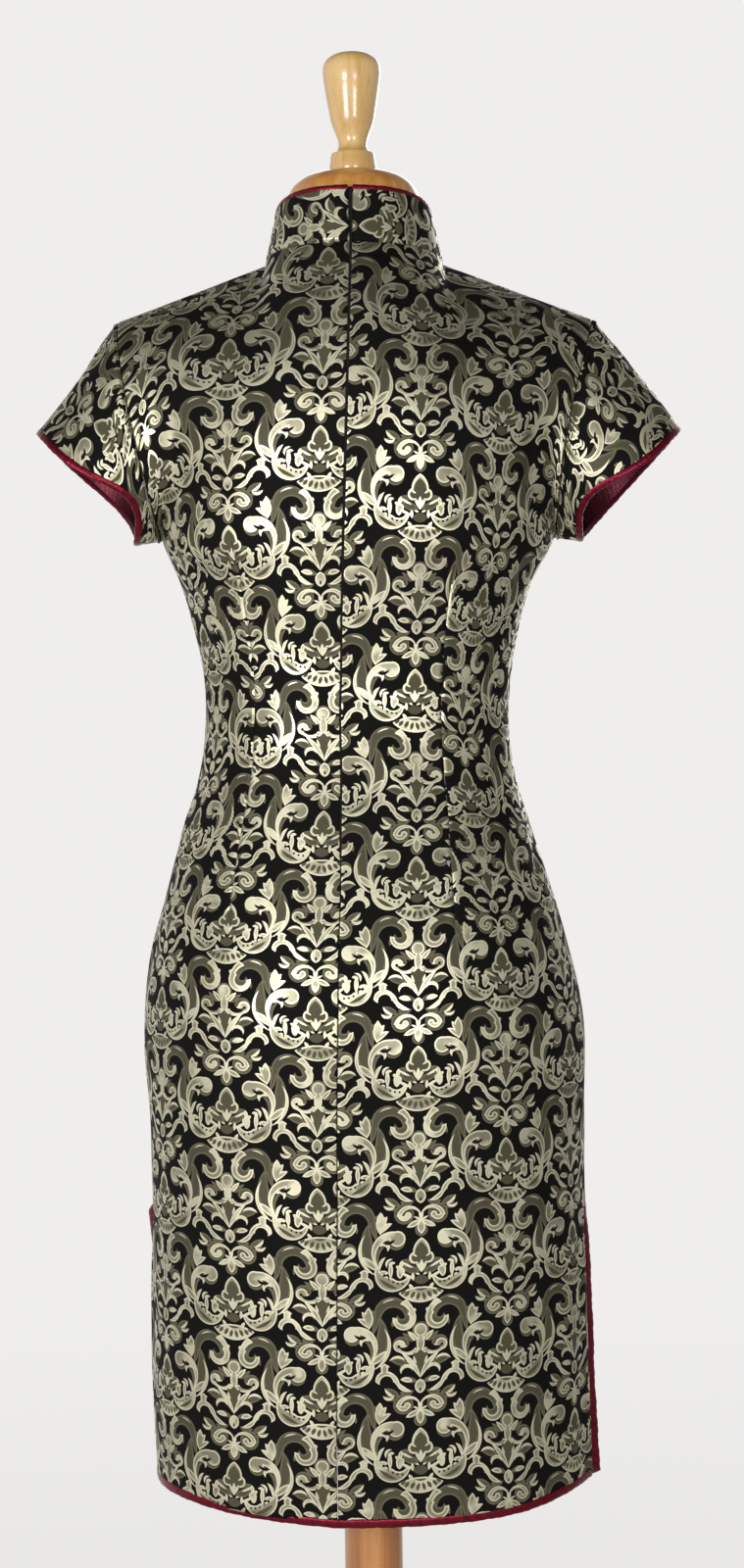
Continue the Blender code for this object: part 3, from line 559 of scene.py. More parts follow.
# Soft folds of each panel, in millimetres: places are across from the centre line and up from the
# floor, then bow, half width, height and lean
CREASES = {
    "back_left": (
        (150, 1178, 96, 1150, 6, 7, -1.6, 0.3),
        (156, 1172, 120, 1132, -5, 6, 1.5, -0.2),
        (160, 1150, 118, 1098, 4, 8, -1.3, 0.2),
        (164, 1120, 132, 1086, -3, 6, 1.1, 0.0),
        (168, 1078, 128, 1062, 3, 6, -1.1, 0.3),
        (170, 1060, 112, 1041, -4, 7, 1.7, -0.3),
        (172, 1040, 126, 1026, 3, 6, -1.2, 0.2),
        (168, 1020, 120, 1008, 2, 8, 1.3, 0.0),
        (96, 1050, 40, 1042, 3, 9, -0.7, 0.2),
        (90, 1032, 30, 1030, -3, 10, 0.8, -0.2),
        (176, 980, 142, 930, 4, 9, 1.1, 0.2),
        (178, 905, 150, 842, -4, 10, -1.0, 0.0),
        (168, 640, 164, 470, 3, 9, 1.6, 0.2),
        (148, 620, 152, 500, -3, 10, -1.0, 0.0),
        (110, 700, 104, 480, 5, 16, 0.9, 0.2),
        (60, 660, 52, 500, -4, 18, -0.7, 0.1),
        (128, 1290, 96, 1214, -7, 9, 1.2, 0.2),
        (142, 1262, 118, 1196, 5, 8, -1.2, 0.1),
    ),
    "back_right": (
        (152, 1180, 98, 1146, 5, 7, 1.7, -0.3),
        (158, 1168, 118, 1128, -4, 7, -1.5, 0.2),
        (160, 1140, 126, 1100, 4, 7, 1.4, 0.0),
        (166, 1106, 134, 1082, 2, 6, -1.1, 0.2),
        (170, 1072, 120, 1050, -3, 7, 1.8, 0.3),
        (172, 1052, 132, 1036, 3, 6, -1.2, -0.2),
        (170, 1030, 116, 1016, 3, 8, 1.4, 0.2),
        (170, 1004, 132, 988, -2, 7, -1.1, 0.0),
        (84, 1046, 24, 1038, -3, 9, 0.8, 0.2),
        (178, 962, 140, 912, 4, 9, -1.1, 0.1),
        (180, 936, 146, 878, -5, 8, 1.5, 0.3),
        (176, 880, 152, 824, 4, 9, -1.0, 0.0),
        (163, 652, 160, 462, 4, 7, -1.5, 0.3),
        (174, 640, 173, 470, -2, 7, 2.0, -0.2),
        (146, 668, 150, 478, -4, 11, 1.3, 0.2),
        (104, 640, 110, 470, 5, 16, -0.8, 0.1),
        (64, 700, 58, 520, 3, 18, 0.8, 0.0),
        (126, 1282, 100, 1206, 6, 9, 1.2, -0.2),
        (140, 1254, 122, 1198, -4, 7, -1.4, 0.1),
    ),
    "front_left": (
        (150, 1176, 104, 1186, 5, 7, 1.6, 0.2),
        (152, 1166, 112, 1160, -4, 7, -1.4, 0.0),
        (146, 1216, 108, 1206, 4, 8, 1.4, -0.2),
        (160, 1140, 108, 1120, 4, 8, -1.2, 0.2),
        (170, 1062, 110, 1050, 4, 8, 1.5, 0.0),
        (168, 1040, 118, 1030, -3, 7, -1.2, 0.2),
        (60, 1050, 6, 1046, 3, 10, -0.8, 0.0),
        (174, 920, 96, 884, 6, 12, 1.3, 0.2),
        (170, 880, 90, 858, -5, 12, -1.1, 0.0),
        (166, 640, 162, 480, 3, 9, 1.5, 0.2),
        (90, 690, 84, 480, 5, 17, 0.9, 0.0),
    ),
    "front_right": (
        (152, 1180, 100, 1182, -5, 7, 1.7, -0.2),
        (150, 1164, 116, 1152, 4, 7, -1.3, 0.2),
        (144, 1222, 112, 1212, -4, 8, 1.3, 0.0),
        (164, 1128, 112, 1108, 3, 8, 1.2, 0.2),
        (170, 1070, 116, 1056, -4, 8, -1.4, 0.0),
        (170, 1046, 108, 1036, 4, 7, 1.5, -0.2),
        (172, 910, 104, 880, -5, 12, -1.2, 0.2),
        (168, 868, 84, 846, 5, 13, 1.2, 0.0),
        (168, 650, 166, 470, -3, 9, 1.6, 0.0),
        (110, 660, 116, 470, 5, 16, -0.9, 0.2),
    ),
}

# How each panel's cloth lies on it, by height, in millimetres: where the waist dart runs across it
# and how much cloth the dart takes in, then how far the weave has moved from an even lie: the whole
# row, the part about the dart, the part by the side seam, and upwards, at the middle and the side
LIE_COLUMNS = ("height", "dart", "sewn", "whole", "about", "side", "lift", "side_lift")
LIE_ROWS = {
    "back_left": (
        (0.430, 67.0, 0.0, 3.0, 0.0, 0.0, -7.0, 0.0),
        (0.549, 67.0, 0.0, 3.0, 1.0, 0.0, -3.5, 0.0),
        (0.619, 67.0, 0.0, 3.0, -1.0, 0.0, -1.5, 0.0),
        (0.690, 67.0, 0.0, -1.0, -0.7, 0.0, 0.0, 0.0),
        (0.764, 67.0, 0.0, 0.0, -2.0, 1.0, -1.0, 0.0),
        (0.835, 67.0, 0.0, -3.0, -1.4, 5.0, 1.0, 0.0),
        (0.880, 67.0, 0.0, -2.0, -1.5, 5.0, 3.0, 0.0),
        (0.905, 68.5, 4.0, -1.0, -1.0, 5.0, 5.0, 0.0),
        (0.934, 70.0, 9.0, 0.0, 0.0, 6.0, 4.5, 0.0),
        (0.970, 71.0, 18.0, 2.0, 2.0, 8.0, 4.0, 0.0),
        (1.017, 71.5, 26.0, 2.0, 4.0, 16.0, 3.0, 0.0),
        (1.060, 72.5, 27.0, 1.5, 4.0, 18.0, 3.0, 0.0),
        (1.100, 73.0, 20.0, 0.0, 3.0, 10.0, 3.0, 0.0),
        (1.139, 74.0, 8.0, -1.5, 2.0, 12.0, 2.0, 0.0),
        (1.183, 71.5, 0.0, -3.5, -1.3, 13.0, 0.0, 0.0),
        (1.263, 71.0, 0.0, -4.0, -5.5, -10.0, -1.0, 0.0),
        (1.337, 71.0, 0.0, -2.0, -12.5, -3.0, -5.0, 0.0),
        (1.401, 71.0, 0.0, -2.0, -13.0, 0.0, -6.0, 0.0),
    ),
    "back_right": (
        (0.430, 62.5, 0.0, -4.5, 0.8, 4.0, 2.0, 6.0),
        (0.580, 62.5, 0.0, -4.5, 1.4, 4.0, 3.0, 5.5),
        (0.650, 62.5, 0.0, -5.0, 0.0, 4.0, 4.4, 5.0),
        (0.720, 62.5, 0.0, -3.0, 1.0, 3.0, 3.8, 5.0),
        (0.800, 62.5, 0.0, -2.0, 1.0, 2.0, 4.5, 4.0),
        (0.875, 62.5, 0.0, -1.0, 4.0, 2.0, 6.5, 3.0),
        (0.896, 64.0, 6.0, 0.0, 3.0, 3.0, 6.5, 3.0),
        (0.934, 67.0, 15.0, 1.0, 2.0, 5.0, 6.2, 4.0),
        (0.960, 70.5, 21.0, 1.2, 2.0, 7.0, 6.0, 6.0),
        (1.000, 73.5, 27.0, 1.5, 2.0, 12.0, 5.0, 10.0),
        (1.040, 74.0, 28.0, 2.0, 3.0, 14.0, 5.0, 9.0),
        (1.087, 72.8, 22.0, 2.0, 5.0, 12.0, 5.5, 9.0),
        (1.125, 71.0, 10.0, 1.0, 9.0, 7.0, 4.5, 11.0),
        (1.156, 69.5, 0.0, 0.5, 13.0, 5.0, 3.5, 10.0),
        (1.217, 69.5, 0.0, 2.0, 6.0, 4.0, 1.0, 8.0),
        (1.289, 69.5, 0.0, 2.0, -6.0, 3.0, -2.5, 8.0),
        (1.359, 69.5, 0.0, 1.0, -13.0, 0.0, -2.5, 5.0),
        (1.401, 69.5, 0.0, 1.0, -14.0, 0.0, -3.0, 6.0),
    ),
    "front_left": (
        (0.430, 74.0, 0.0, 0.0, 0.0, 0.0, 0.0, 0.0),
        (0.915, 74.0, 0.0, 0.0, 0.0, 0.0, 0.0, 0.0),
        (0.980, 72.0, 12.0, 0.0, 0.0, 0.0, 0.0, 0.0),
        (1.040, 70.0, 19.0, 0.0, 0.0, 6.0, 0.0, 0.0),
        (1.085, 71.5, 12.0, 0.0, 0.0, 6.0, 0.0, 0.0),
        (1.130, 74.0, 0.0, 0.0, 0.0, 0.0, 0.0, 0.0),
        (1.401, 74.0, 0.0, 0.0, 0.0, 0.0, 0.0, 0.0),
    ),
}
LIE_ROWS["front_right"] = LIE_ROWS["front_left"]
# Where the part about the dart starts and ends, counted from the dart
LIE_REACH = {"back_left": (-50, 0), "back_right": (-15, 45), "front_left": (-20, 20),
             "front_right": (-20, 20)}
DART_COLUMN = 72.0
ZIP_END = 0.930
ZIP_GAP = 1.1

# How a back panel's free edge turns outward: where that starts, in metres above the slit's top, and
# in millimetres the tuck beside the edge, the least turn, what is added at the slit's top and near
# the hem corner
SLIT_START = {"back_left": 0.003, "back_right": -0.005}
SLIT_TUCK = {"back_left": 0.6, "back_right": 3.3}
SLIT_LEAST, SLIT_AT_TOP, SLIT_AT_CORNER, SLIT_RIGHT = 0.8, 6.8, 3.8, 2.1
SLIT_CORNER = (0.474, 0.012)
# Ridges beside the seams, in millimetres: height, how far from the edge, and width
ARMHOLE_RIDGE = (1.1, 2.9, 0.9)
TOP_RIDGE = (0.35, 3.2, 1.3)
UNDER_SATIN = 0.5

# Place on the flat cloth, from each piece's own zero, where a column of figures and a bud's tip are
PATTERN_START = {"back_left": (14.0, 73.0), "back_right": (58.0, 38.0), "front": (0.0, 20.0)}

WIDTH_MM = PANEL_WIDTH * 1000
PANEL_STEP = 2.0
PANEL_RISE = 3.2
RIBBON_SIDES = 14


def lie(name, column, height):
    """One column of a panel's lie at any height, in millimetres."""
    return column_of(LIE_ROWS[name], LIE_COLUMNS, column, height)


def panel_grid(name):
    """u, v and the nominal place across, in millimetres, of a panel's points."""
    hand = 1 if name.endswith("left") else -1
    coarse = 1.4 if name.startswith("front") else 1.0
    place = close_places(WIDTH_MM, (0, DART_COLUMN, WIDTH_MM), PANEL_STEP * coarse)
    top = UNDERARM + UPPER_LENGTH
    low = HEM * 1000
    heights = close_places(top * 1000 - low, (SLIT_TOP * 1000 - low, top * 1000 - low),
                           PANEL_RISE * coarse ** 0.5)
    heights = (heights + low) / 1000
    dart = lie(name, "dart", heights)[:, None]
    inside = place[None, :] * dart / DART_COLUMN
    outside = dart + (place[None, :] - DART_COLUMN) * (WIDTH_MM - dart) / (WIDTH_MM - DART_COLUMN)
    across = np.where(place[None, :] < DART_COLUMN, inside, outside)
    if name.startswith("back"):
        parted = ZIP_GAP / 2 * smooth_step((heights - ZIP_END) / 0.012)
        across = across + parted[:, None] * np.clip(1 - across / 8, 0, 1)
    edge = 1 - 0.5 * HEM_BINDING / PANEL_WIDTH * smooth_step((SLIT_TOP - heights) / 0.006)
    u = across / WIDTH_MM * edge[:, None]
    v = np.repeat(heights[:, None], len(place), axis=1)
    raise_hem = hem_height(u.ravel(), hand).reshape(u.shape) + 0.5 * HEM_BINDING - HEM
    v = v + raise_hem * np.clip((SLIT_TOP - v) / (SLIT_TOP - HEM), 0, 1)
    return u, v, across


def ridge(at, height, middle, width):
    """A rounded ridge across a seam or edge."""
    return height * np.exp(-((at - middle) / width) ** 2)


def slit_flare(name, u, v):
    """How far a back panel's free edge stands out sideways below its slit's top, in metres."""
    if name.startswith("front"):
        return np.zeros_like(u)
    below = SLIT_TOP + SLIT_START[name] - v
    drawn_in = np.exp(-((u - 0.964) / 0.014) ** 2)
    if name == "back_left":
        reach = SLIT_LEAST + SLIT_AT_TOP * np.clip(1 - (below - 0.006) / 0.038, 0, 1) ** 0.5
        reach += ridge(v, SLIT_AT_CORNER, *SLIT_CORNER)
        turned = reach * np.clip((u - 0.95) / 0.05, 0, 1)
        return smooth_step(below / 0.01) * (turned - SLIT_TUCK[name] * drawn_in) / 1000
    ripple = 1 + 0.12 * np.sin(v * 46) + 0.1 * np.sin(v * 103 + 1)
    turned = np.clip((u - 0.966) / 0.034, 0, 1)
    return smooth_step(below / 0.012) * (SLIT_TUCK[name] * drawn_in - SLIT_RIGHT * ripple * turned) / 1000


def panel_relief(name, v, across):
    """How far a panel's outer face stands out, in millimetres: folds, darts and turned edges."""
    up = v * 1000
    relief = crease_relief(CREASES[name], across, up)
    relief += slow_waves(across, up, 0.9, len(name) + ord(name[-1]))
    free = smooth_step(across / 14) * smooth_step((WIDTH_MM - across) / 10)
    free = np.where(v < SLIT_TOP, smooth_step(across / 14) * smooth_step((WIDTH_MM - 6 - across) / 9), free)
    free = free * smooth_step((UNDERARM + UPPER_LENGTH - v) / 0.02)
    relief *= free
    dart = lie(name, "dart", v[:, 0])[:, None]
    sewn = np.clip(lie(name, "sewn", v[:, 0])[:, None] / 2.5, 0, 1)
    relief += -0.75 * sewn * np.exp(-(np.abs(across - dart) / 0.7) ** 1.5)
    relief += 0.25 * sewn * np.exp(-((np.abs(across - dart) - 2.6) / 1.6) ** 2)
    if name.startswith("back"):
        zipped = smooth_step((v - ZIP_END) / 0.01)
        relief += rolled_edge(across, 1.5, 0.7 + 0.5 * zipped)
    closed = np.where(v > SLIT_TOP, 1.0, 0.0)
    relief += rolled_edge(WIDTH_MM - across, 1.6, 0.8) * closed
    top = (UNDERARM + UPPER_LENGTH - v) * 1000
    relief += rolled_edge(top, 1.4, 0.9) + ridge(top, *TOP_RIDGE)
    under_satin = smooth_step((across - WIDTH_MM + HEM_BINDING * 1000 + 1) / 1.5) * (v < SLIT_TOP)
    return relief + CLOTH * 1000 - UNDER_SATIN * under_satin


def panel_surface(name):
    """Outer face of a panel, its places on the flat cloth and the shifts that its dart gives."""
    u, v, across = panel_grid(name)
    inner = panel_points(name, u, v)
    out = grid_normals(inner) * (-1 if name.endswith("left") == name.startswith("back") else 1)
    points = inner + out * panel_relief(name, v, across)[..., None] / 1000
    points[..., 0] += slit_flare(name, u, v)
    place = flat_cut(inner, int(np.argmin(np.abs(v[:, 0] - UNDERARM))))
    height = v[:, 0]
    from_dart = across - lie(name, "dart", height)[:, None]
    start, end = LIE_REACH[name]
    about = smooth_step((from_dart - start) / (end - start))
    side = smooth_step((from_dart - 8) / 65)
    place[..., 0] += (lie(name, "whole", height)[:, None] + lie(name, "about", height)[:, None] * about
                      + lie(name, "side", height)[:, None] * side)
    place[..., 1] += (lie(name, "lift", height)[:, None]
                      + lie(name, "side_lift", height)[:, None] * smooth_step((across - 45) / 70))
    taken = np.maximum(lie(name, "sewn", (height[:-1] + height[1:]) / 2), 0)
    beyond = ((from_dart[0, :-1] + from_dart[0, 1:]) > 0).astype(float)
    shift = np.stack([taken[:, None] * beyond[None, :], np.zeros((len(taken), len(beyond)))], axis=-1)
    return points, place, shift


def add_panels(brocade):
    """Two back panels that meet at the centre back seam, and a front of one piece."""
    made = []
    for name in ("back_left", "back_right"):
        points, place, shift = panel_surface(name)
        place = place - PATTERN_START[name]
        panel = add_cloth(f"silk_{name}", points, brocade, place,
                          flip=name.endswith("left"), moved=shift)
        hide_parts(name)
        made.append(panel)
    right, right_place, right_shift = panel_surface("front_right")
    left, left_place, left_shift = panel_surface("front_left")
    points = np.concatenate([right[:, ::-1], left[:, 1:]], axis=1)
    place = np.concatenate([right_place[:, ::-1] * (-1, 1), left_place[:, 1:]], axis=1)
    shift = np.concatenate([right_shift[:, ::-1] * (-1, 1), left_shift], axis=1)
    front = add_cloth("silk_front", points, brocade,
                      place - PATTERN_START["front"], moved=shift)
    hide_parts("front")
    return made + [front]


def add_zip(black):
    """The invisible zip behind the centre back seam: a woven tape with a row of fine teeth on it. The tape's
    black in the seam's gap is partly painted shade, the seam's dark line.
    """
    low, high = ZIP_END - 0.012, UNDERARM + UPPER_LENGTH - 0.001
    heights = np.linspace(low, high, 170)
    half = np.array([11.0, 7.0, 3.5, 0.4])
    sides = []
    for name, places in (("back_right", half), ("back_left", half[::-1])):
        u = np.broadcast_to(places / WIDTH_MM, (len(heights), len(places)))
        sides.append(panel_points(name, u, np.repeat(heights[:, None], len(places), axis=1)))
    points = np.concatenate(sides, axis=1)
    out = grid_normals(points)
    out = out * np.sign(out[..., 1:2])
    tape = add_cloth("tape_zip", points + out * 0.00055, black, flat_cut(points, 0), wall=0.0004,
                     flip=True)
    spine = (points[:, 3] + points[:, 4]) / 2
    normal = (out[:, 3] + out[:, 4]) / 2
    at = np.linspace(0, len(spine) - 1.001, int((high - low) / 0.0016))
    row, part = at.astype(int), (at % 1)[:, None]
    centre = spine[row] * (1 - part) + spine[row + 1] * part + normal[row] * 0.0008
    corner = np.array([(x, y, z) for x in (-1, 1) for y in (-1, 1) for z in (-1, 1)])
    teeth = (centre[:, None] + corner[None] * (0.0011, 0, 0.0005)
             + normal[row][:, None] * corner[None, :, 1:2] * 0.00025)
    cube = np.array([(0, 1, 3, 2), (4, 6, 7, 5), (0, 4, 5, 1), (2, 3, 7, 6), (0, 2, 6, 4), (1, 5, 7, 3)])
    faces = (np.arange(len(at))[:, None, None] * 8 + cube[None]).reshape(-1, 4)
    coil = add_mesh("teeth_zip", teeth.reshape(-1, 3), faces, black)
    coil.data.shade_flat()
    return tape


def hem_line(name, inset):
    """The finished edge of a half of the skirt, from its slit top round to the centre, set in."""
    hand = 1 if name.endswith("left") else -1
    side = 1 - inset / PANEL_WIDTH
    top = SLIT_TOP - 4 * SEAM
    low = hem_height(side, hand) + inset
    across = np.linspace(side, 0, 80)
    up = np.linspace(top, low, 90)[:-1]
    u = np.concatenate([np.full(len(up), side), across])
    v = np.concatenate([up, hem_height(across, hand) + inset])
    points = panel_points(name, u, v)
    points[:, 0] += slit_flare(name, u, v)
    return points


def add_hem_bindings(satin):
    """Satin folded round the slit edges and the hem: one strip for the back, one for the front."""
    made = []
    for face in ("back", "front"):
        lines = []
        for inset in (0, HEM_BINDING):
            right = hem_line(f"{face}_right", inset)
            left = hem_line(f"{face}_left", inset)[::-1]
            joined = (right[-1] + left[0]) / 2
            lines.append(np.concatenate([right[:-1], joined[None], left[1:]]))
        normal = grid_normals(np.stack(lines))[0] * (-1 if face == "back" else 1)
        outer, inner = (line + normal * CLOTH / 2 for line in lines)
        strip = add_ribbon(f"satin_hem_{face}", outer, inner, normal, satin)
        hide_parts(f"binding_hem_{face}")
        made.append(strip)
    return made


def sleeve_points(turn, share, side):
    """A sleeve: turn goes round from the underarm by the back, share from armhole to hem."""
    hand = 1 if side == "left" else -1
    middle = (np.array(SLEEVE_TIP[side]) + np.array(SLEEVE_UNDER)) / 2
    reach = (np.array(SLEEVE_TIP[side]) - np.array(SLEEVE_UNDER)) / 2
    inward = np.array([-reach[2], 0, reach[0]]) / np.linalg.norm(reach)
    low = (1 + np.cos(turn)) / 2
    arch = np.where(np.sin(turn) > 0,
                    SLEEVE_BACK_ARCH[side] * low ** SLEEVE_ARCH_POWER["back"],
                    SLEEVE_FRONT_ARCH[side] * low ** SLEEVE_ARCH_POWER["front"])
    end = (middle - reach * np.cos(turn)[..., None]
           + np.array([0, SLEEVE_HALF, 0]) * np.sin(turn)[..., None]
           + inward * (arch * np.sin(turn) ** 2)[..., None])
    apart = SEAM + CLOTH * np.interp(np.cos(turn), (-1, 1), (0.3, 1.0))
    start = armhole(turn, side) * (hand, 1, 1) + apart[..., None] * np.array([1, 0, 0])
    share = share[..., None]
    crown = SLEEVE_CROWN[side] * np.sin(np.pi * share) * ((1 - np.cos(turn)) / 2)[..., None] ** 2
    points = start + (end - start) * share + crown * np.array([0.75, 0, 0.66])
    return settle(points * (hand, 1, 1))


SLEEVE_SIDES = 192

# Folds of each sleeve, in millimetres: across is round the sleeve from the underarm by the back
# (the whole way round is 360) and up is how far from the armhole
SLEEVE_CREASES = {
    "left": (
        (176, 4, 168, 44, 3, 6, 1.2, 0.2),
        (150, 2, 146, 40, -3, 6, -1.0, 0.0),
        (118, 0, 130, 34, 3, 7, 1.0, 0.1),
        (90, 0, 104, 26, 2, 6, -0.9, 0.0),
        (206, 2, 214, 46, -3, 7, -1.0, 0.2),
        (240, 0, 232, 40, 3, 7, 1.1, 0.0),
        (270, 0, 262, 30, -2, 6, -0.8, 0.0),
    ),
    "right": (
        (184, 6, 192, 50, 3, 6, 1.5, 0.2),
        (166, 2, 158, 40, -3, 5, -1.5, 0.0),
        (150, 0, 144, 36, 3, 5, 1.4, 0.1),
        (132, 0, 126, 26, 2, 5, -1.2, 0.0),
        (100, 0, 110, 28, -2, 6, 1.0, 0.2),
        (214, 2, 222, 42, -3, 7, -1.0, 0.2),
        (250, 0, 240, 36, 3, 7, 1.1, 0.0),
    ),
}


def sleeve_band(side, near, far, rows):
    """Points of a band of a sleeve, from far to near its hem; the whole sleeve if far is None."""
    turn = np.linspace(0, 2 * np.pi, SLEEVE_SIDES, endpoint=False)
    ends = [sleeve_points(turn, np.full_like(turn, share), side) for share in (0.0, 1.0)]
    length = np.linalg.norm(ends[1] - ends[0], axis=-1)
    low = np.zeros_like(turn) if far is None else np.clip(1 - far / length, 0.15, 1)
    high = 1 - near / length
    share = low + (high - low) * rows[:, None]
    points = sleeve_points(np.broadcast_to(turn, share.shape), share, side)
    return points, np.broadcast_to(turn, share.shape), share * length


# Where a drop flower lies on each sleeve, in millimetres along it and round it from the cap line to
# the back, and how far the weave is turned from the sleeve's own length
SLEEVE_START = {"left": (21.5, 55.9), "right": (-0.3, 75.4)}
SLEEVE_TURN = {"left": 80.0, "right": 76.0}


def sleeve_places(side, ring):
    """Places on the flat cloth of a sleeve's rings: unrolled from the cap line, then turned."""
    step = np.linalg.norm(np.diff(ring, axis=1), axis=-1)
    around = np.concatenate([np.zeros((len(ring), 1)), np.cumsum(step, axis=1)], axis=1)
    around = (around[:, SLEEVE_SIDES // 2][:, None] - around) * 1000
    length = ring[-1].mean(axis=0) - ring[0].mean(axis=0)
    along = (ring - ring[0].mean(axis=0)) @ (length / np.linalg.norm(length)) * 1000
    along, around = along - SLEEVE_START[side][0], around - SLEEVE_START[side][1]
    angle = np.radians(SLEEVE_TURN[side])
    return np.stack([along * np.sin(angle) + around * np.cos(angle),
                     along * np.cos(angle) - around * np.sin(angle) + 14.4], axis=-1)


def add_sleeves(brocade, satin, shaded_lining_satin):
    """Cap sleeves, the satin round their hems and the satin facing inside them, the facing in a darker copy
    of the satin that paints the shade inside the sleeve.
    """
    made = []
    for hand, side in ((1, "left"), (-1, "right")):
        rows = np.concatenate([np.linspace(0, 0.06, 9), np.linspace(0.08, 1, 38)])
        points, turn, depth = sleeve_band(side, SLEEVE_BINDING / 2, None, rows)
        out = grid_normals(points, True) * hand
        relief = crease_relief(SLEEVE_CREASES[side], np.degrees(turn), depth * 1000)
        relief = relief * smooth_step(depth / 0.006) + rolled_edge(depth * 1000, 1.8, 1.1)
        relief = relief + ridge(depth * 1000, *ARMHOLE_RIDGE)
        ring = np.concatenate([points, points[:, :1]], axis=1)
        place = sleeve_places(side, ring)
        body = add_cloth(f"silk_sleeve_{side}", points + out * (CLOTH + relief[..., None] / 1000),
                         brocade, place, closed=True, flip=hand < 0)
        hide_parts(f"sleeve_{side}")
        hem = sleeve_band(side, 0.0, SLEEVE_BINDING, np.array([0.0, 1.0]))[0]
        normal = grid_normals(hem, True)[0] * hand
        inner, outer = (line + normal * CLOTH / 2 for line in hem)
        strip = add_ribbon(f"satin_sleeve_{side}", outer, inner, normal, satin, ring=True)
        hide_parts(f"binding_sleeve_{side}")
        lining = sleeve_band(side, SLEEVE_BINDING * 0.3, SLEEVE_BINDING + 2 * FACING_WIDTH,
                             np.linspace(0, 1, 10))[0]
        lining = lining - grid_normals(lining, True) * hand * SEAM
        ring = np.concatenate([lining, lining[:, :1]], axis=1)
        # the facing takes the darker satin, painted shade inside the sleeve
        facing = add_cloth(f"satin_facing_{side}", lining, shaded_lining_satin, flat_cut(ring, 0),
                           closed=True, flip=hand < 0, wall=FACING_WALL / 2)
        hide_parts(f"facing_sleeve_{side}")
        made.append((body, strip, facing))
    return made


def collar_points(turn, share, hand):
    """A half of the stand collar: turn from centre back to centre front, share of its height."""
    base = neckline(turn) + np.array([0, 0, COLLAR_LIFT])
    top = collar_top(turn)
    points = base + (top - base) * share[..., None]
    gap = COLLAR_GAP_BASE + (COLLAR_GAP_TOP - COLLAR_GAP_BASE) * share
    points[..., 0] += gap * np.clip(1 - turn / COLLAR_GAP_TURN, 0, 1) + SEAM / 2
    points[..., 0] *= hand
    points[..., 0] += NECK_SEAM_SHIFT * smooth_step(1 - turn / (np.pi / 2))
    return settle(points)


def collar_outline(inset, columns, bends):
    """Places along the collar's edge: level along the top, then round the front corner.

    Gives the turn and the share of height, the whole outline set in by a width.
    """
    radius = COLLAR_CORNER - inset
    centre = COLLAR_LENGTH - COLLAR_CORNER
    rise = COLLAR_HEIGHT - inset
    along = np.arange(columns) / columns * centre
    bend = np.linspace(0, np.pi / 2, bends + 1)
    flat = np.concatenate([along, centre + radius * np.sin(bend)])
    tall = np.concatenate([np.full(len(along), rise), rise - radius + radius * np.cos(bend)])
    return flat / COLLAR_LENGTH * np.pi, tall / COLLAR_HEIGHT


def collar_edge(inset):
    """The collar's edge from the centre back round to the base of the centre front."""
    turn, tall = collar_outline(inset, 110, 16)
    down = np.linspace(1, 0, 12)[1:]
    return np.append(turn, np.full(len(down), turn[-1])), np.append(tall, tall[-1] * down)


def add_collar(brocade, satin):
    """Two halves of the stand collar, each with satin round its edge."""
    made = []
    for hand, name in ((1, "left"), (-1, "right")):
        turn, top = collar_outline(COLLAR_BINDING * 0.5, 110, 16)
        rows = np.concatenate([[-0.1, 0, 0.012, 0.03, 0.055], np.linspace(0.09, 1, 22)])
        share = rows[:, None] * top[None, :]
        turn = np.broadcast_to(turn, share.shape)
        points = collar_points(turn, share, hand)
        out = grid_normals(points) * -hand
        relief = rolled_edge(share * COLLAR_HEIGHT * 1000, 1.2, 0.7)
        relief += rolled_edge(turn / np.pi * COLLAR_LENGTH * 1000, 1.2, 0.8)
        relief += slow_waves(turn / np.pi * 225, share * 44, 0.25, 3 + hand)
        relief += 12 * np.minimum(share, 0)
        # cut crosswise: the figures lie on their sides, their tops towards the left half
        along, high = np.moveaxis(flat_cut(points, 0), -1, 0)
        place = np.stack([high - 15, 38 + along if hand > 0 else 6 - along], axis=-1)
        cloth = add_cloth(f"silk_collar_{name}", points + out * (CLOTH + relief[..., None] / 1000),
                          brocade, place, flip=hand > 0)
        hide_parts(f"collar_{name}")
        outer, inner = (collar_points(*collar_edge(inset), hand) for inset in (0, COLLAR_BINDING))
        normal = grid_normals(np.stack([inner, outer]))[0] * -hand
        strip = add_ribbon(f"satin_collar_{name}", outer + normal * CLOTH / 2,
                           inner + normal * CLOTH / 2, normal, satin)
        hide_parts(f"binding_collar_{name}")
        made.append((cloth, strip))
    return made


def add_guard(black):
    """A black guard strip behind the opening of the collar, above the zip; its black is partly painted
    shade, the dark inside of the opening.
    """
    share = np.repeat(np.linspace(-0.06, 0.975, 24)[:, None], 4, axis=1)
    turn = np.broadcast_to(np.array([8.0, 5.0, 2.5, 0.3]) / 1000 / COLLAR_LENGTH * np.pi, share.shape)
    right, left = collar_points(turn, share, -1), collar_points(turn[:, ::-1], share, 1)
    points = np.concatenate([right, left], axis=1)
    return add_cloth("tape_guard_shade", points + (0, -0.0004, 0), black, flat_cut(points, 0),
                     wall=0.0004, flip=True)


# ---------------------------------------------------------------- the dress form

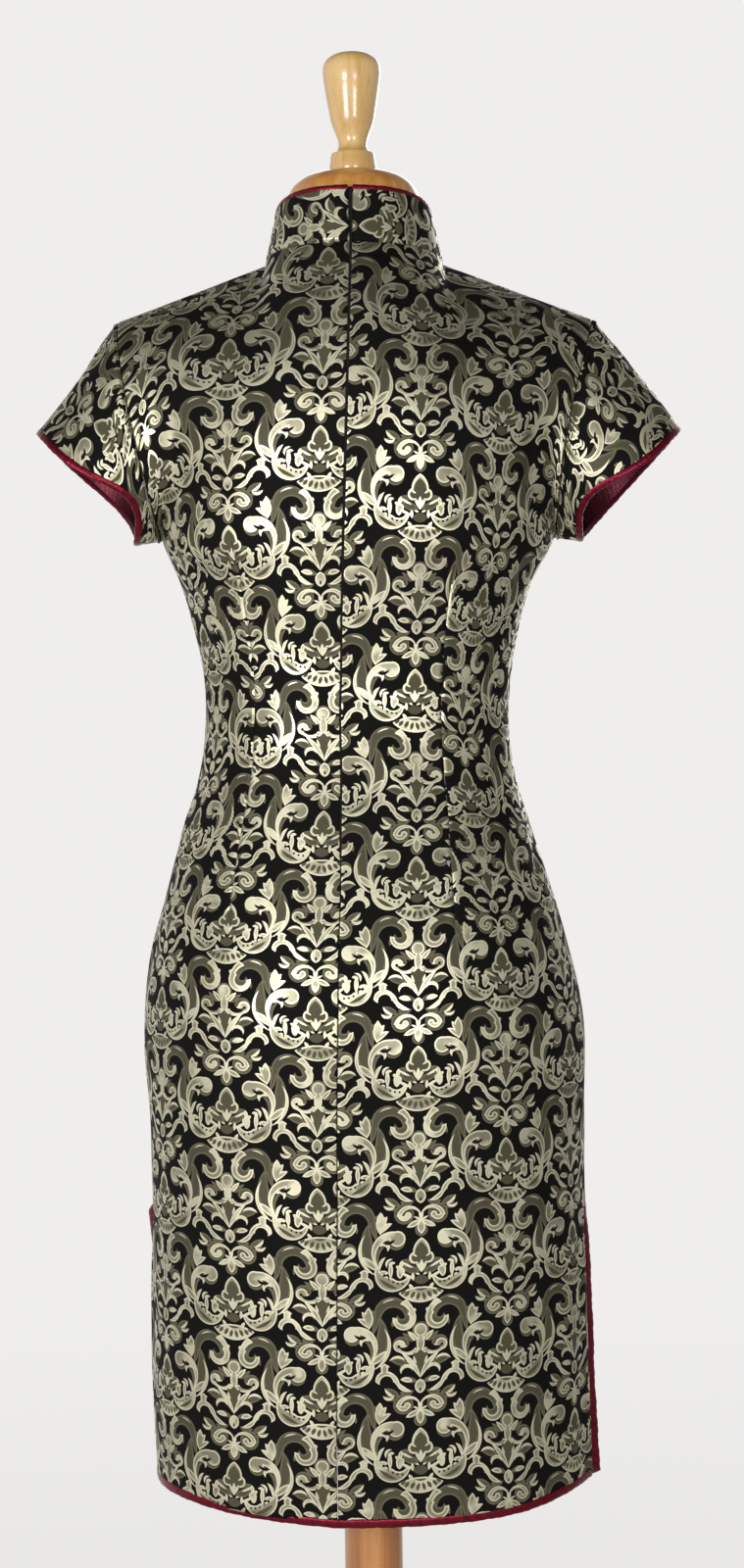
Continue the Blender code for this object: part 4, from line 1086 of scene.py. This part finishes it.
def add_torso(jersey):
    """The form's torso: level ovals joined into one closed, smooth body."""
    turn = np.linspace(0, 2 * np.pi, 96, endpoint=False)
    low, round_edge, top = (TORSO_ROWS[index][0] for index in (0, 1, -1))
    heights = np.concatenate([np.linspace(low, round_edge, 5)[:-1], np.linspace(round_edge, top, 130)])
    rings = []
    for height in heights:
        sizes = [column_of(TORSO_ROWS, TORSO_COLUMNS, name, height) for name in TORSO_COLUMNS[1:]]
        across, deep = oval(turn, *sizes)
        sway = column_of(BODY_ROWS, BODY_COLUMNS, "sway", height)
        rings.append(np.stack([across + sway, deep, np.full_like(turn, height)], axis=-1))
    points = settle(np.array(rings))
    rows, columns = points.shape[:2]
    faces = grid_faces(rows, columns, True)[:, ::-1].tolist()
    faces.append(list(range(columns)))
    faces.append([(rows - 1) * columns + index for index in range(columns)][::-1])
    torso = add_mesh("jersey_torso", points, faces, jersey, None)
    torso.data.set_sharp_from_angle(angle=np.radians(50))
    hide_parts("form_torso")
    return torso


def turned_outline(profile, rounded):
    """A turned piece's outline with short steps; rounded runs a soft curve through its points."""
    profile = np.array(profile)
    along = np.concatenate([[0], np.cumsum(np.linalg.norm(np.diff(profile, axis=0), axis=1))])
    at = np.unique(np.concatenate([along, np.linspace(0, along[-1], 150)]))
    if rounded:
        return smooth_curve(along, profile[:, 0], at), smooth_curve(along, profile[:, 1], at)
    return np.interp(at, along, profile[:, 0]), np.interp(at, along, profile[:, 1])


def add_turned(name, node, profile, beech, rounded=True):
    """A turned wooden piece: its outline, from top to bottom, carried round the form's axis."""
    radius, height = turned_outline(profile, rounded)
    radius = np.maximum(radius, 0)
    turn = np.linspace(0, 2 * np.pi, 96, endpoint=False)
    inner = slice(1, -1)
    ring = np.stack([radius[inner, None] * np.cos(turn), radius[inner, None] * np.sin(turn),
                     np.repeat(height[inner, None], len(turn), axis=1)], axis=-1)
    rows, columns = ring.shape[:2]
    points = np.concatenate([ring.reshape(-1, 3), [[0, 0, height[0]], [0, 0, height[-1]]]])
    faces = grid_faces(rows, columns, True)[:, ::-1].tolist()
    after = [(index + 1) % columns for index in range(columns)]
    faces += [[rows * columns, index, after[index]] for index in range(columns)]
    low = (rows - 1) * columns
    faces += [[rows * columns + 1, low + after[index], low + index] for index in range(columns)]
    made = add_mesh(name, points, faces, beech, None)
    made.data.set_sharp_from_angle(angle=np.radians(35))
    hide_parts(node)
    return made


def add_form(jersey, knob_wood, cap_wood, pole_wood):
    """Torso, neck cap, finial, pole and base."""
    add_torso(jersey)
    add_turned("beech_neck_cap", "form_neck_cap", CAP_PROFILE, cap_wood)
    add_turned("beech_finial", "form_finial", FINIAL_PROFILE, knob_wood)
    ease = 0.0008
    pole = [(0.0, POLE_TOP), (POLE_RADIUS - ease, POLE_TOP), (POLE_RADIUS, POLE_TOP - ease),
            (POLE_RADIUS, POLE_BOTTOM + ease), (POLE_RADIUS - ease, POLE_BOTTOM), (0.0, POLE_BOTTOM)]
    add_turned("beech_pole", "form_pole", pole, pole_wood, rounded=False)
    edge = np.radians(np.linspace(90, 0, 9))
    rim = [(BASE_RADIUS - BASE_EDGE + BASE_EDGE * np.cos(angle),
            BASE_HEIGHT - BASE_EDGE + BASE_EDGE * np.sin(angle)) for angle in edge]
    base = [(0.0, BASE_HEIGHT), *rim, (BASE_RADIUS, 0.001), (BASE_RADIUS - 0.001, 0.0), (0.0, 0.0)]
    add_turned("beech_base", "form_base", base, pole_wood, rounded=False)


# ---------------------------------------------------------------- materials

def linear(code):
    """An sRGB hex colour as linear red, green, blue and alpha."""
    parts = np.array([int(code[index:index + 2], 16) for index in (1, 3, 5)]) / 255
    parts = np.where(parts <= 0.04045, parts / 12.92, ((parts + 0.055) / 1.055) ** 2.4)
    return (*parts.tolist(), 1.0)


def add_node(tree, kind, *inputs, out=0, **settings):
    """Adds a node with its settings and gives one of its outputs.

    Inputs are numbers, colours or other nodes' outputs, in order or in a dictionary by name.
    """
    made = tree.nodes.new("ShaderNode" + kind)
    for name, value in settings.items():
        setattr(made, name, value)
    named = inputs[0] if inputs and isinstance(inputs[0], dict) else dict(enumerate(inputs))
    for key, value in named.items():
        if isinstance(value, bpy.types.NodeSocket):
            tree.links.new(value, made.inputs[key])
        else:
            made.inputs[key].default_value = value
    return made.outputs[out]


def blend(tree, share, low, high):
    """Mixes two colours by a share from 0 to 1."""
    return add_node(tree, "Mix", {0: share, 6: low, 7: high}, out=2, data_type="RGBA")


def new_material(name):
    """An empty material, its node tree and a function that sets or links its shader's inputs."""
    made = bpy.data.materials.new(name)
    made.use_nodes = True
    shader = made.node_tree.nodes["Principled BSDF"]

    def shade(values):
        """Sets or links the shader's inputs by name."""
        for key, value in values.items():
            if isinstance(value, bpy.types.NodeSocket):
                made.node_tree.links.new(value, shader.inputs[key])
            else:
                shader.inputs[key].default_value = value
    return made, made.node_tree, shade


# The damask's repeat: half of a figure that is mirrored about its upright middle. A column of
# figures stands every FIGURE_SPACING, and every second column is half of FIGURE_RISE higher. The
# figure is charted a little smaller, REPEAT_WIDTH by REPEAT_HEIGHT, and CHART_SCALE brings it to size.
REPEAT_WIDTH = 67.6
REPEAT_HEIGHT = 141.0
FIGURE_SPACING = 69.5
FIGURE_RISE = 145.0
CHART_SCALE = (REPEAT_WIDTH / FIGURE_SPACING, REPEAT_HEIGHT / FIGURE_RISE, 1.0)

# Each blade lies between two arcs that share their ends: shade, x1, y1, x2, y2 in millimetres from
# the middle and from the tip of the spade bud, and how far each arc bows to its left
FIGURE_BLADES = (
    # upper flower
    ("taupe", 3.0, 63.5, 13.2, 71.3, 1.6, -1.9),
    ("silver", 1.2, 63.3, 9.5, 72.3, 2.0, -1.6),
    ("silver", 0.0, 72.0, 0.0, 55.0, 2.9, -2.9),
    ("silver", 0.0, 58.0, 19.2, 62.0, 1.5, -5.2),
    ("silver", 0.0, 37.4, 13.6, 56.2, 3.4, -0.5),
    ("shade", 0.0, 40.2, 5.4, 56.2, 6.0, -0.4),
    ("shade", 0.0, 58.2, 0.0, 51.0, 2.6, -2.6),
    ("pearl", 5.0, 53.8, 2.8, 48.0, 1.1, -0.5),
    ("taupe", 9.0, 46.6, 22.0, 51.5, 3.8, -1.6),
    ("taupe", 8.4, 50.0, 15.0, 42.6, 2.4, 0.6),
    ("silver", 11.2, 50.4, 22.4, 50.8, 3.8, 1.9),
    ("silver", 5.6, 43.0, 13.9, 41.0, 6.0, 3.4),
    ("taupe", 2.0, 34.6, 14.6, 36.8, 2.8, -1.6),
    ("silver", 5.6, 35.2, 14.3, 36.9, 2.3, -1.4),
    ("silver", 0.0, 36.4, 0.0, 26.0, 3.9, -3.9),
    ("ground", 0.0, 30.6, 0.0, 27.2, 0.7, -0.7),
    # S arms
    ("silver", 6.2, 27.8, 17.8, 36.8, -0.5, -3.8),
    ("silver", 14.8, 30.4, 23.2, 43.2, 2.6, -0.9),
    ("silver", 26.1, 40.4, 26.1, 49.0, 2.6, -2.6),
    ("silver", 22.5, 46.6, 29.3, 46.8, 1.7, -1.2),
    # leaf tips beside the arms
    ("taupe", 25.2, 30.8, 14.5, 23.5, 1.6, -2.4),
    ("silver", 25.8, 30.8, 18.6, 24.6, 2.2, 0.3),
    ("taupe", 26.4, 24.6, 17.0, 21.0, 1.2, -2.2),
    ("silver", 27.0, 25.4, 19.0, 24.8, 3.4, 1.4),
    # eye scroll
    ("taupe", 4.8, 28.2, 15.0, 27.4, 0.6, -3.4),
    ("silver", 0.2, 13.4, 1.6, 19.6, 0.9, -0.5),
    # drop flower
    ("silver", 0.4, 13.9, 10.6, 8.9, 1.7, -2.3),
    ("silver", 0.2, 14.0, 5.2, 16.4, 0.7, -0.7),
    ("silver", 0.0, 14.0, 0.0, 3.4, 2.9, -2.9),
    # spade bud
    ("silver", 0.0, 0.7, 0.0, -21.0, 6.3, -6.3),
    ("shade", 0.0, -2.6, 0.0, -20.0, 4.9, -4.9),
    ("pearl", 3.2, -13.4, 6.8, -11.4, 0.8, -0.4),
    ("pearl", 0.0, -15.4, 0.0, -25.0, 1.5, -1.5),
    ("pearl", 0.0, -25.0, 4.0, -18.8, 2.7, -0.4),
    # leaves under it
    ("taupe", 1.5, -25.0, 13.4, -19.6, 2.8, -3.2),
    ("taupe", 3.0, -19.2, 14.6, -15.6, 2.6, -0.6),
    ("silver", 6.2, -21.4, 14.8, -16.4, 0.7, -1.0),
    ("silver", 15.2, -21.4, 14.1, -15.6, 1.5, -1.5),
    ("silver", 14.6, -22.4, 18.6, -19.6, 1.5, -1.2),
    ("silver", 15.6, -22.0, 15.6, -29.0, 2.2, -2.2),
    ("silver", 15.4, -24.4, 5.6, -29.6, 1.1, -0.9),
    ("silver", 6.2, -25.0, 5.9, -31.0, 1.3, -1.0),
    ("pearl", 1.2, -26.6, 4.2, -25.6, 0.7, -0.7),
    # pot and shell
    ("shade", -5.6, -30.6, 5.6, -30.6, 3.4, -3.4),
    ("ground", -8.0, -33.2, 8.0, -33.2, -1.3, -2.7),
    ("silver", -16.4, -40.0, 16.4, -40.0, 4.2, -7.6),
    ("silver", 5.8, -38.0, 8.9, -33.4, 1.2, -1.2),
    ("shade", 1.1, -40.0, 2.9, -45.8, 1.5, -1.2),
    ("shade", 4.6, -39.2, 7.6, -44.2, 1.5, -1.4),
    ("shade", 8.6, -38.8, 11.8, -42.6, 1.4, -1.3),
    ("shade", 11.2, -37.6, 15.2, -40.4, 0.8, -1.4),
    ("shade", -4.4, -37.2, 4.4, -37.2, 0.2, -1.5),
    # claw: prongs
    ("silver", 22.4, -29.0, 22.5, -16.4, 1.6, -1.6),
    ("silver", 24.0, -18.8, 19.2, -17.3, 0.3, -1.9),
    ("silver", 21.0, -14.4, 25.0, -20.4, 3.2, 1.4),
    ("silver", 26.2, -12.6, 30.2, -22.0, 2.7, 0.3),
    ("silver", 24.0, -24.6, 31.8, -24.4, 1.9, -1.4),
    ("shade", 17.2, -36.6, 30.4, -28.6, 0.4, -2.4),
    ("ground", 23.6, -26.0, 23.8, -30.4, 0.5, -0.5),
    # inner volute
    ("taupe", 26.8, -4.6, 31.0, -18.5, 4.8, 1.9),
    ("ground", 19.2, 0.5, 28.4, -1.8, -0.5, -2.8),
    # tulip
    ("silver", 30.0, 4.2, 29.4, 20.6, 3.4, -3.2),
    ("silver", 30.0, 4.8, 21.4, 12.1, 0.6, -3.2),
    ("silver", 28.2, 9.0, 24.7, 17.2, 0.9, -2.6),
    ("taupe", 30.5, 17.5, 34.5, 15.5, 1.6, -0.6),
    # S body
    ("taupe", 32.5, -0.5, 35.6, 22.0, 1.2, -3.4),
    ("taupe", 33.2, -23.0, 38.4, 12.4, 0.6, -8.4),
    ("silver", 33.4, -25.8, 41.0, 4.4, -6.0, -8.6),
    ("silver", 31.4, -22.4, 43.4, -12.0, 2.4, -2.6),
    ("silver", 30.4, -19.4, 34.0, -26.0, 1.6, -1.6),
    # S head
    ("taupe", 46.8, 5.4, 51.6, 13.0, 2.6, -0.6),
    ("pearl", 39.5, 23.2, 48.4, 26.0, 1.4, 0.4),
)

# Dots and rounded ends: shade, x, y and radius
FIGURE_DOTS = (
    ("taupe", 0.0, 73.0, 6.0),
    ("silver", 0.0, 72.9, 4.7),
    ("taupe", 14.2, 62.6, 6.0),
    ("silver", 15.3, 61.7, 4.3),
    ("ground", 15.8, 61.2, 1.1),
    ("taupe", 12.4, 18.4, 7.3),
    ("silver", 9.4, 17.4, 2.4),
    ("taupe", 0.0, 6.4, 4.6),
    ("silver", 4.9, -14.0, 4.2),
    ("shade", 4.4, -14.1, 3.0),
    ("silver", 17.6, 0.6, 5.8),
    ("taupe", 18.4, -1.2, 6.5),
    ("silver", 15.0, -23.6, 3.0),
    ("ground", 13.6, -33.0, 0.8),
    ("ground", 17.0, -32.6, 0.8),
    ("ground", 20.4, -31.4, 0.8),
    ("ground", 27.0, -26.2, 1.1),
    ("silver", 62.6, 17.4, 1.4),
)

# Curled bands: shade, then x, y and radius of the circle they lie in, of the circle they lie outside
# and of a third that cuts their ends: inside it, or outside it where its radius is below 0
FIGURE_BANDS = (
    ("ground", 9.6, 63.6, 6.7, 12.6, 65.2, 4.9, 8.0, 74.0, -9.6),
    ("silver", 25.8, 36.6, 6.8, 24.6, 34.9, 5.0, 25.5, 42.5, 9.6),
    ("silver", 8.7, 15.2, 9.3, 7.4, 14.9, 7.3, 8.2, 40.0, 24.8),
    ("silver", 12.3, 18.4, 5.0, 12.6, 20.5, 3.4, 13.9, 14.5, 5.7),
    ("silver", 21.2, -9.0, 15.3, 20.6, -12.2, 12.9, 34.0, 0.0, 19.8),
    ("silver", 26.7, -5.2, 3.5, 28.1, -7.4, 3.2, 0.0, 0.0, 0.0),
    ("silver", 20.7, -25.5, 13.2, 15.7, -24.7, 6.2, 16.2, -9.0, -20.2),
    ("taupe", 46.0, 15.3, 12.5, 47.4, 11.3, 8.7, 46.8, 24.0, 17.0),
    ("taupe", 55.0, 11.4, 5.1, 53.9, 14.3, 3.1, 0.0, 0.0, 0.0),
    ("silver", 55.6, 11.2, 8.5, 55.0, 11.4, 4.5, 51.2, 20.2, -8.6),
    ("silver", 40.6, 8.0, 24.0, 48.4, 11.0, 12.0, 59.0, 17.8, 8.0),
)


def arc(x1, y1, x2, y2, bow):
    """Centre, radius and side of the circle through two points that bows to their left by bow."""
    length = np.hypot(x2 - x1, y2 - y1)
    bow = bow if abs(bow) > 0.02 else 0.02
    radius = (length**2 / 4 + bow**2) / (2 * abs(bow))
    off = bow - np.sign(bow) * radius
    return ((x1 + x2) / 2 - (y2 - y1) / length * off, (y1 + y2) / 2 + (x2 - x1) / length * off,
            radius, np.sign(bow))


def figure_shapes():
    """Every shape of the repeat that reaches its cell, as one to three circles with their signs.

    A point is inside a shape where sign * (distance to the circle's centre - radius) is below 0 for
    each of its circles. Copies come from the neighbouring column and from above and below.
    """
    shapes = []
    for shade, *ends, upper, lower in FIGURE_BLADES:
        one, two = arc(*ends, upper), arc(*ends, lower)
        shapes.append((shade, [(one[0], one[1], one[2], one[3]), (two[0], two[1], two[2], -two[3])]))
    shapes += [(shade, [(x, y, radius, 1.0)]) for shade, x, y, radius in FIGURE_DOTS]
    for shade, *outer, x, y, radius, cut_x, cut_y, cut in FIGURE_BANDS:
        ends = [(cut_x, cut_y, abs(cut), float(np.sign(cut)))] if cut else []
        shapes.append((shade, [(*outer, 1.0), (x, y, radius, -1.0)] + ends))
    across, up = np.meshgrid(np.arange(0, REPEAT_WIDTH / 2 + 0.1, 0.8),
                             np.arange(0, REPEAT_HEIGHT + 0.1, 0.8))
    copies = []
    for shade, circles in shapes:
        for beside in (False, True):
            for lift in (-REPEAT_HEIGHT, 0.0, REPEAT_HEIGHT):
                moved = [(REPEAT_WIDTH - x if beside else x,
                          y + lift - beside * REPEAT_HEIGHT / 2, r, sign) for x, y, r, sign in circles]
                depth = np.max([sign * (np.hypot(across - x, up - y) - r)
                                for x, y, r, sign in moved], axis=0)
                if depth.min() < 0.7:
                    copies.append((shade, moved))
    return copies


def damask_depths(tree):
    """For each shade, the distance in millimetres outside its nearest shape, from the cut's place."""
    place = add_node(tree, "UVMap", uv_map="cut")
    charted = add_node(tree, "Mapping", {0: place, 3: CHART_SCALE})
    along, rise = (add_node(tree, "SeparateXYZ", charted, out=part) for part in (0, 1))
    column = add_node(tree, "Math", along, REPEAT_WIDTH, operation="DIVIDE")
    column = add_node(tree, "Math", column, operation="ROUND")
    across = add_node(tree, "Math", column, -REPEAT_WIDTH, along, operation="MULTIPLY_ADD")
    across = add_node(tree, "Math", across, operation="ABSOLUTE")
    odd = add_node(tree, "Math", column, 1.0, operation="PINGPONG")
    up = add_node(tree, "Math", odd, -REPEAT_HEIGHT / 2, rise, operation="MULTIPLY_ADD")
    up = add_node(tree, "Math", up, REPEAT_HEIGHT, operation="FLOORED_MODULO")
    point = add_node(tree, "CombineXYZ", across, up)
    depths = {}
    for shade, circles in figure_shapes():
        shape = None
        for x, y, radius, sign in circles:
            far = add_node(tree, "VectorMath", point, (x, y, 0), out=1, operation="DISTANCE")
            far = add_node(tree, "Math", far, sign, -sign * radius, operation="MULTIPLY_ADD")
            shape = far if shape is None else add_node(tree, "Math", shape, far, operation="MAXIMUM")
        if shade in depths:
            shape = add_node(tree, "Math", depths[shade], shape, operation="MINIMUM")
        depths[shade] = shape
    return place, depths


def silk_damask():
    """Silk damask brocade: a matt charcoal ground with taupe figures and metallic silver-cream ones.

    The silver weft lies in long floats that mirror the light where the cloth faces it and go dull
    olive where it turns away; the ground of fine warp stays dark.
    """
    made, tree, shade = new_material("silk_damask_brocade")
    place, depths = damask_depths(tree)
    share = {name: add_node(tree, "MapRange", depth, 0.2, -0.2, interpolation_type="SMOOTHSTEP")
             for name, depth in depths.items()}
    slub = add_node(tree, "Mapping", {0: place, 3: (0.3, 2.4, 1.0)})
    slub = add_node(tree, "TexNoise", {"Vector": slub, "Scale": 1.0, "Detail": 2.0},
                    noise_dimensions="2D")
    cloudy = add_node(tree, "TexNoise", {"Vector": place, "Scale": 0.045, "Detail": 2.0},
                      noise_dimensions="2D")
    worn = add_node(tree, "MapRange", cloudy, 0.4, 0.62, 0.0, 0.8)
    taupe_rim = add_node(tree, "MapRange", depths["taupe"], -2.0, -0.3, interpolation_type="SMOOTHSTEP")
    silver_rim = add_node(tree, "MapRange", depths["silver"], -1.6, -0.4, 0.2, 1.0,
                          interpolation_type="SMOOTHSTEP")
    silver_rim = add_node(tree, "Math", silver_rim, worn, operation="MAXIMUM")
    colour = None
    for cover, low, high, by in (
            (None, "#060605", "#0d0c0a", cloudy), (share["taupe"], "#4b4839", "#625e4c", taupe_rim),
            (share["silver"], "#67634f", "#cfcab0", silver_rim),
            (share["shade"], "#3f3c2e", "#575341", slub), (share["pearl"], "#b2ad94", "#d8d3ba", slub),
            (share["ground"], "#060605", "#0d0c0a", cloudy)):
        thread = blend(tree, by, linear(low), linear(high))
        colour = thread if colour is None else blend(tree, cover, colour, thread)
    metal = add_node(tree, "Math", share["taupe"], 0.45, operation="MULTIPLY")
    for cover, level in (("silver", 0.85), ("shade", 0.4), ("pearl", 0.85), ("ground", 0.0)):
        metal = add_node(tree, "Mix", {0: share[cover], 2: metal, 3: level}, data_type="FLOAT")
    gloss = add_node(tree, "Math", metal, -0.34, 0.66, operation="MULTIPLY_ADD")
    gloss = add_node(tree, "Math", worn, 0.06, gloss, operation="MULTIPLY_ADD")
    # weft ribs about 0.7 mm apart, and the figures' floats lying proud of the ground
    rib = add_node(tree, "TexWave", {"Vector": place, "Scale": 0.23, "Distortion": 0.6},
                   out=1, wave_type="BANDS", bands_direction="Y")
    figure = add_node(tree, "Math", share["taupe"], share["silver"], operation="MAXIMUM")
    height = add_node(tree, "Math", rib, 0.3, figure, operation="MULTIPLY_ADD")
    height = add_node(tree, "Math", slub, 0.5, height, operation="MULTIPLY_ADD")
    bump = add_node(tree, "Bump", {"Strength": 0.35, "Distance": 0.00012, "Height": height})
    shade({"Base Color": colour, "Metallic": metal, "Roughness": gloss, "Normal": bump,
           "Specular IOR Level": 0.08})
    return made


def satin_crimson(name, deep, lit):
    """Deep red silk satin: smooth long floats give it bright narrow lights beside near-black folds. Its
    colour also runs along the puckers from deep, painted shade between them, to lit, a painted highlight on
    their crowns.
    """
    made, tree, shade = new_material(name)
    place = add_node(tree, "UVMap", uv_map="cut")
    stretched = add_node(tree, "Mapping", {0: place, 3: (1.0, 0.25, 1.0)})
    pucker = add_node(tree, "TexNoise", {"Vector": stretched, "Scale": 0.22, "Detail": 3.0},
                      noise_dimensions="2D")
    # painted highlight and shade: the red is lighter where the puckers rise and darker between them
    colour = blend(tree, pucker, linear(deep), linear(lit))
    thread = add_node(tree, "TexWave", {"Vector": place, "Scale": 0.35, "Distortion": 1.0},
                      out=1, wave_type="BANDS", bands_direction="X")
    height = add_node(tree, "Math", thread, 0.08, pucker, operation="MULTIPLY_ADD")
    bump = add_node(tree, "Bump", {"Strength": 0.6, "Distance": 0.0008, "Height": height})
    shade({"Base Color": colour, "Metallic": 0.75, "Roughness": 0.27, "Normal": bump})
    return made


def black_tape():
    """Black polyester zip tape and teeth: matt, with a fine rib. It also makes the guard behind the collar's
    opening; in both gaps its black is partly painted shade.
    """
    made, tree, shade = new_material("polyester_black")
    place = add_node(tree, "TexCoord", out=3)
    rib = add_node(tree, "TexWave", {"Vector": place, "Scale": 300.0}, out=1, bands_direction="Z")
    bump = add_node(tree, "Bump", {"Strength": 0.3, "Distance": 0.0002, "Height": rib})
    shade({"Base Color": linear("#0c0b0b"), "Roughness": 0.75, "Specular IOR Level": 0.2, "Normal": bump})
    return made


def cotton_jersey():
    """Natural cotton jersey: matt, warm off-white, with a fine fuzzy grain."""
    made, tree, shade = new_material("cotton_jersey")
    place = add_node(tree, "TexCoord", out=3)
    speck = add_node(tree, "TexNoise", {"Vector": place, "Scale": 420.0, "Detail": 2.0})
    colour = blend(tree, speck, linear("#bab09d"), linear("#d2c9b7"))
    bump = add_node(tree, "Bump", {"Strength": 0.4, "Distance": 0.0004, "Height": speck})
    shade({"Base Color": colour, "Roughness": 0.88, "Sheen Weight": 0.2, "Normal": bump})
    return made


def lacquered_beech(name, pale, deep, gloss):
    """Turned beech under clear lacquer: upright grain with short dark flecks, and a wet-looking skin."""
    made, tree, shade = new_material(name)
    place = add_node(tree, "TexCoord", out=3)
    grain = add_node(tree, "Mapping", {0: place, 3: (1.0, 1.0, 0.045)})
    broad = add_node(tree, "TexNoise", {"Vector": grain, "Scale": 90.0, "Detail": 4.0,
                                        "Roughness": 0.6, "Distortion": 0.4})
    streak = add_node(tree, "MapRange", broad, 0.34, 0.66)
    fine = add_node(tree, "TexNoise", {"Vector": grain, "Scale": 620.0, "Detail": 3.0})
    fleck = add_node(tree, "MapRange", fine, 0.58, 0.72, 0.0, 0.4)
    colour = blend(tree, streak, linear(deep), linear(pale))
    colour = blend(tree, fleck, colour, linear("#7b4a1e"))
    bump = add_node(tree, "Bump", {"Strength": 0.15, "Distance": 0.0003, "Height": broad})
    shade({"Base Color": colour, "Roughness": gloss, "Coat Weight": 0.6, "Coat Roughness": 0.08,
           "Normal": bump})
    return made


# ---------------------------------------------------------------- studio

def add_studio():
    """A pale floor in a pale surround, soft lights, and the camera behind the dress.

    The surround dims overhead and to one side, and the main lights stand left of the camera.
    """
    mesh = bpy.data.meshes.new("floor")
    turn = np.linspace(0, 2 * np.pi, 64, endpoint=False)
    rim = np.stack([1.15 * np.cos(turn), 1.15 * np.sin(turn), np.zeros_like(turn)], axis=-1)
    mesh.from_pydata(rim.tolist(), [], [list(range(64))])
    floor = bpy.data.objects.new("floor", mesh)
    bpy.context.scene.collection.objects.link(floor)
    plain, _, shade = new_material("pale_floor")
    shade({"Base Color": linear("#eeece7"), "Roughness": 0.9})
    mesh.materials.append(plain)

    world = bpy.data.worlds.new("studio")
    world.use_nodes = True
    tree = world.node_tree
    way = add_node(tree, "TexCoord")
    bright = 1.0
    for part, near, far, least in ((2, 0.3, 0.8, 0.15), (2, -0.2, -0.8, 0.6), (0, -0.2, -0.9, 0.5)):
        side = add_node(tree, "SeparateXYZ", way, out=part)
        side = add_node(tree, "MapRange", side, near, far, 1.0, least)
        bright = add_node(tree, "Math", side, bright, operation="MULTIPLY")
    tree.links.new(bright, tree.nodes["Background"].inputs[1])
    tree.nodes["Background"].inputs[0].default_value = linear("#efeeec")
    bpy.context.scene.world = world

    for name, place, aim, size, power in (
            ("key", (1.3, 2.4, 1.15), (0.0, 0.0, 1.02), 0.8, 36.0),
            ("fill", (-0.7, 2.9, 1.1), (0.0, 0.0, 1.0), 0.7, 23.0),
            ("front", (-0.6, -2.4, 1.8), (0.0, 0.0, 1.0), 1.6, 24.0)):
        lamp = bpy.data.lights.new(name, "AREA")
        lamp.energy = power
        lamp.size = size
        made = bpy.data.objects.new(name, lamp)
        made.location = place
        made.rotation_euler = (Vector(aim) - Vector(place)).to_track_quat("-Z", "Y").to_euler()
        bpy.context.scene.collection.objects.link(made)
    bpy.context.scene.view_settings.view_transform = "Standard"

    # directly behind, level, 2 m from the form's axis; focal length in pixels of a 1600 high frame
    focal = 2564.0
    roll = np.radians(0.87)
    lens = bpy.data.cameras.new("camera")
    lens.sensor_fit = "VERTICAL"
    lens.sensor_height = 24.0
    lens.lens = focal / 1600 * 24
    camera = bpy.data.objects.new("camera", lens)
    right, back = Vector((-1, 0, 0)), Vector((0, 1, 0))
    place = back * 2.0 + right * (10 / focal * 2.0) + Vector((0, 0, 0.99))
    axes = Matrix((right, (0, 0, 1), back)).transposed() @ Matrix.Rotation(-roll, 3, "Z")
    camera.matrix_world = Matrix.Translation(place) @ axes.to_4x4()
    bpy.context.scene.collection.objects.link(camera)
    bpy.context.scene.camera = camera


# ---------------------------------------------------------------- all together


def main():
    add_studio()
    brocade, jersey = silk_damask(), cotton_jersey()
    satin = satin_crimson("silk_satin_crimson", "#42000f", "#7c0a27")
    # a darker copy of the crimson satin for the sleeve facings: painted shade inside the sleeves
    shaded_lining_satin = satin_crimson("silk_satin_lining_painted_shade", "#1e0006", "#4c0014")
    beech = [lacquered_beech(f"beech_{part}", *tones) for part, tones in (
        ("knob", ("#d3b17b", "#be9657", 0.28)), ("cap", ("#c58f48", "#aa6c2b", 0.32)),
        ("pole", ("#bb8042", "#965b2b", 0.34)))]
    panels = add_panels(brocade)
    add_hem_bindings(satin)
    # black for the zip and the collar guard, partly painted shade in their gaps
    black = black_tape()
    tapes = add_zip(black), add_guard(black)
    sleeves = add_sleeves(brocade, satin, shaded_lining_satin)
    collars = add_collar(brocade, satin)
    add_form(jersey, *beech)


main()
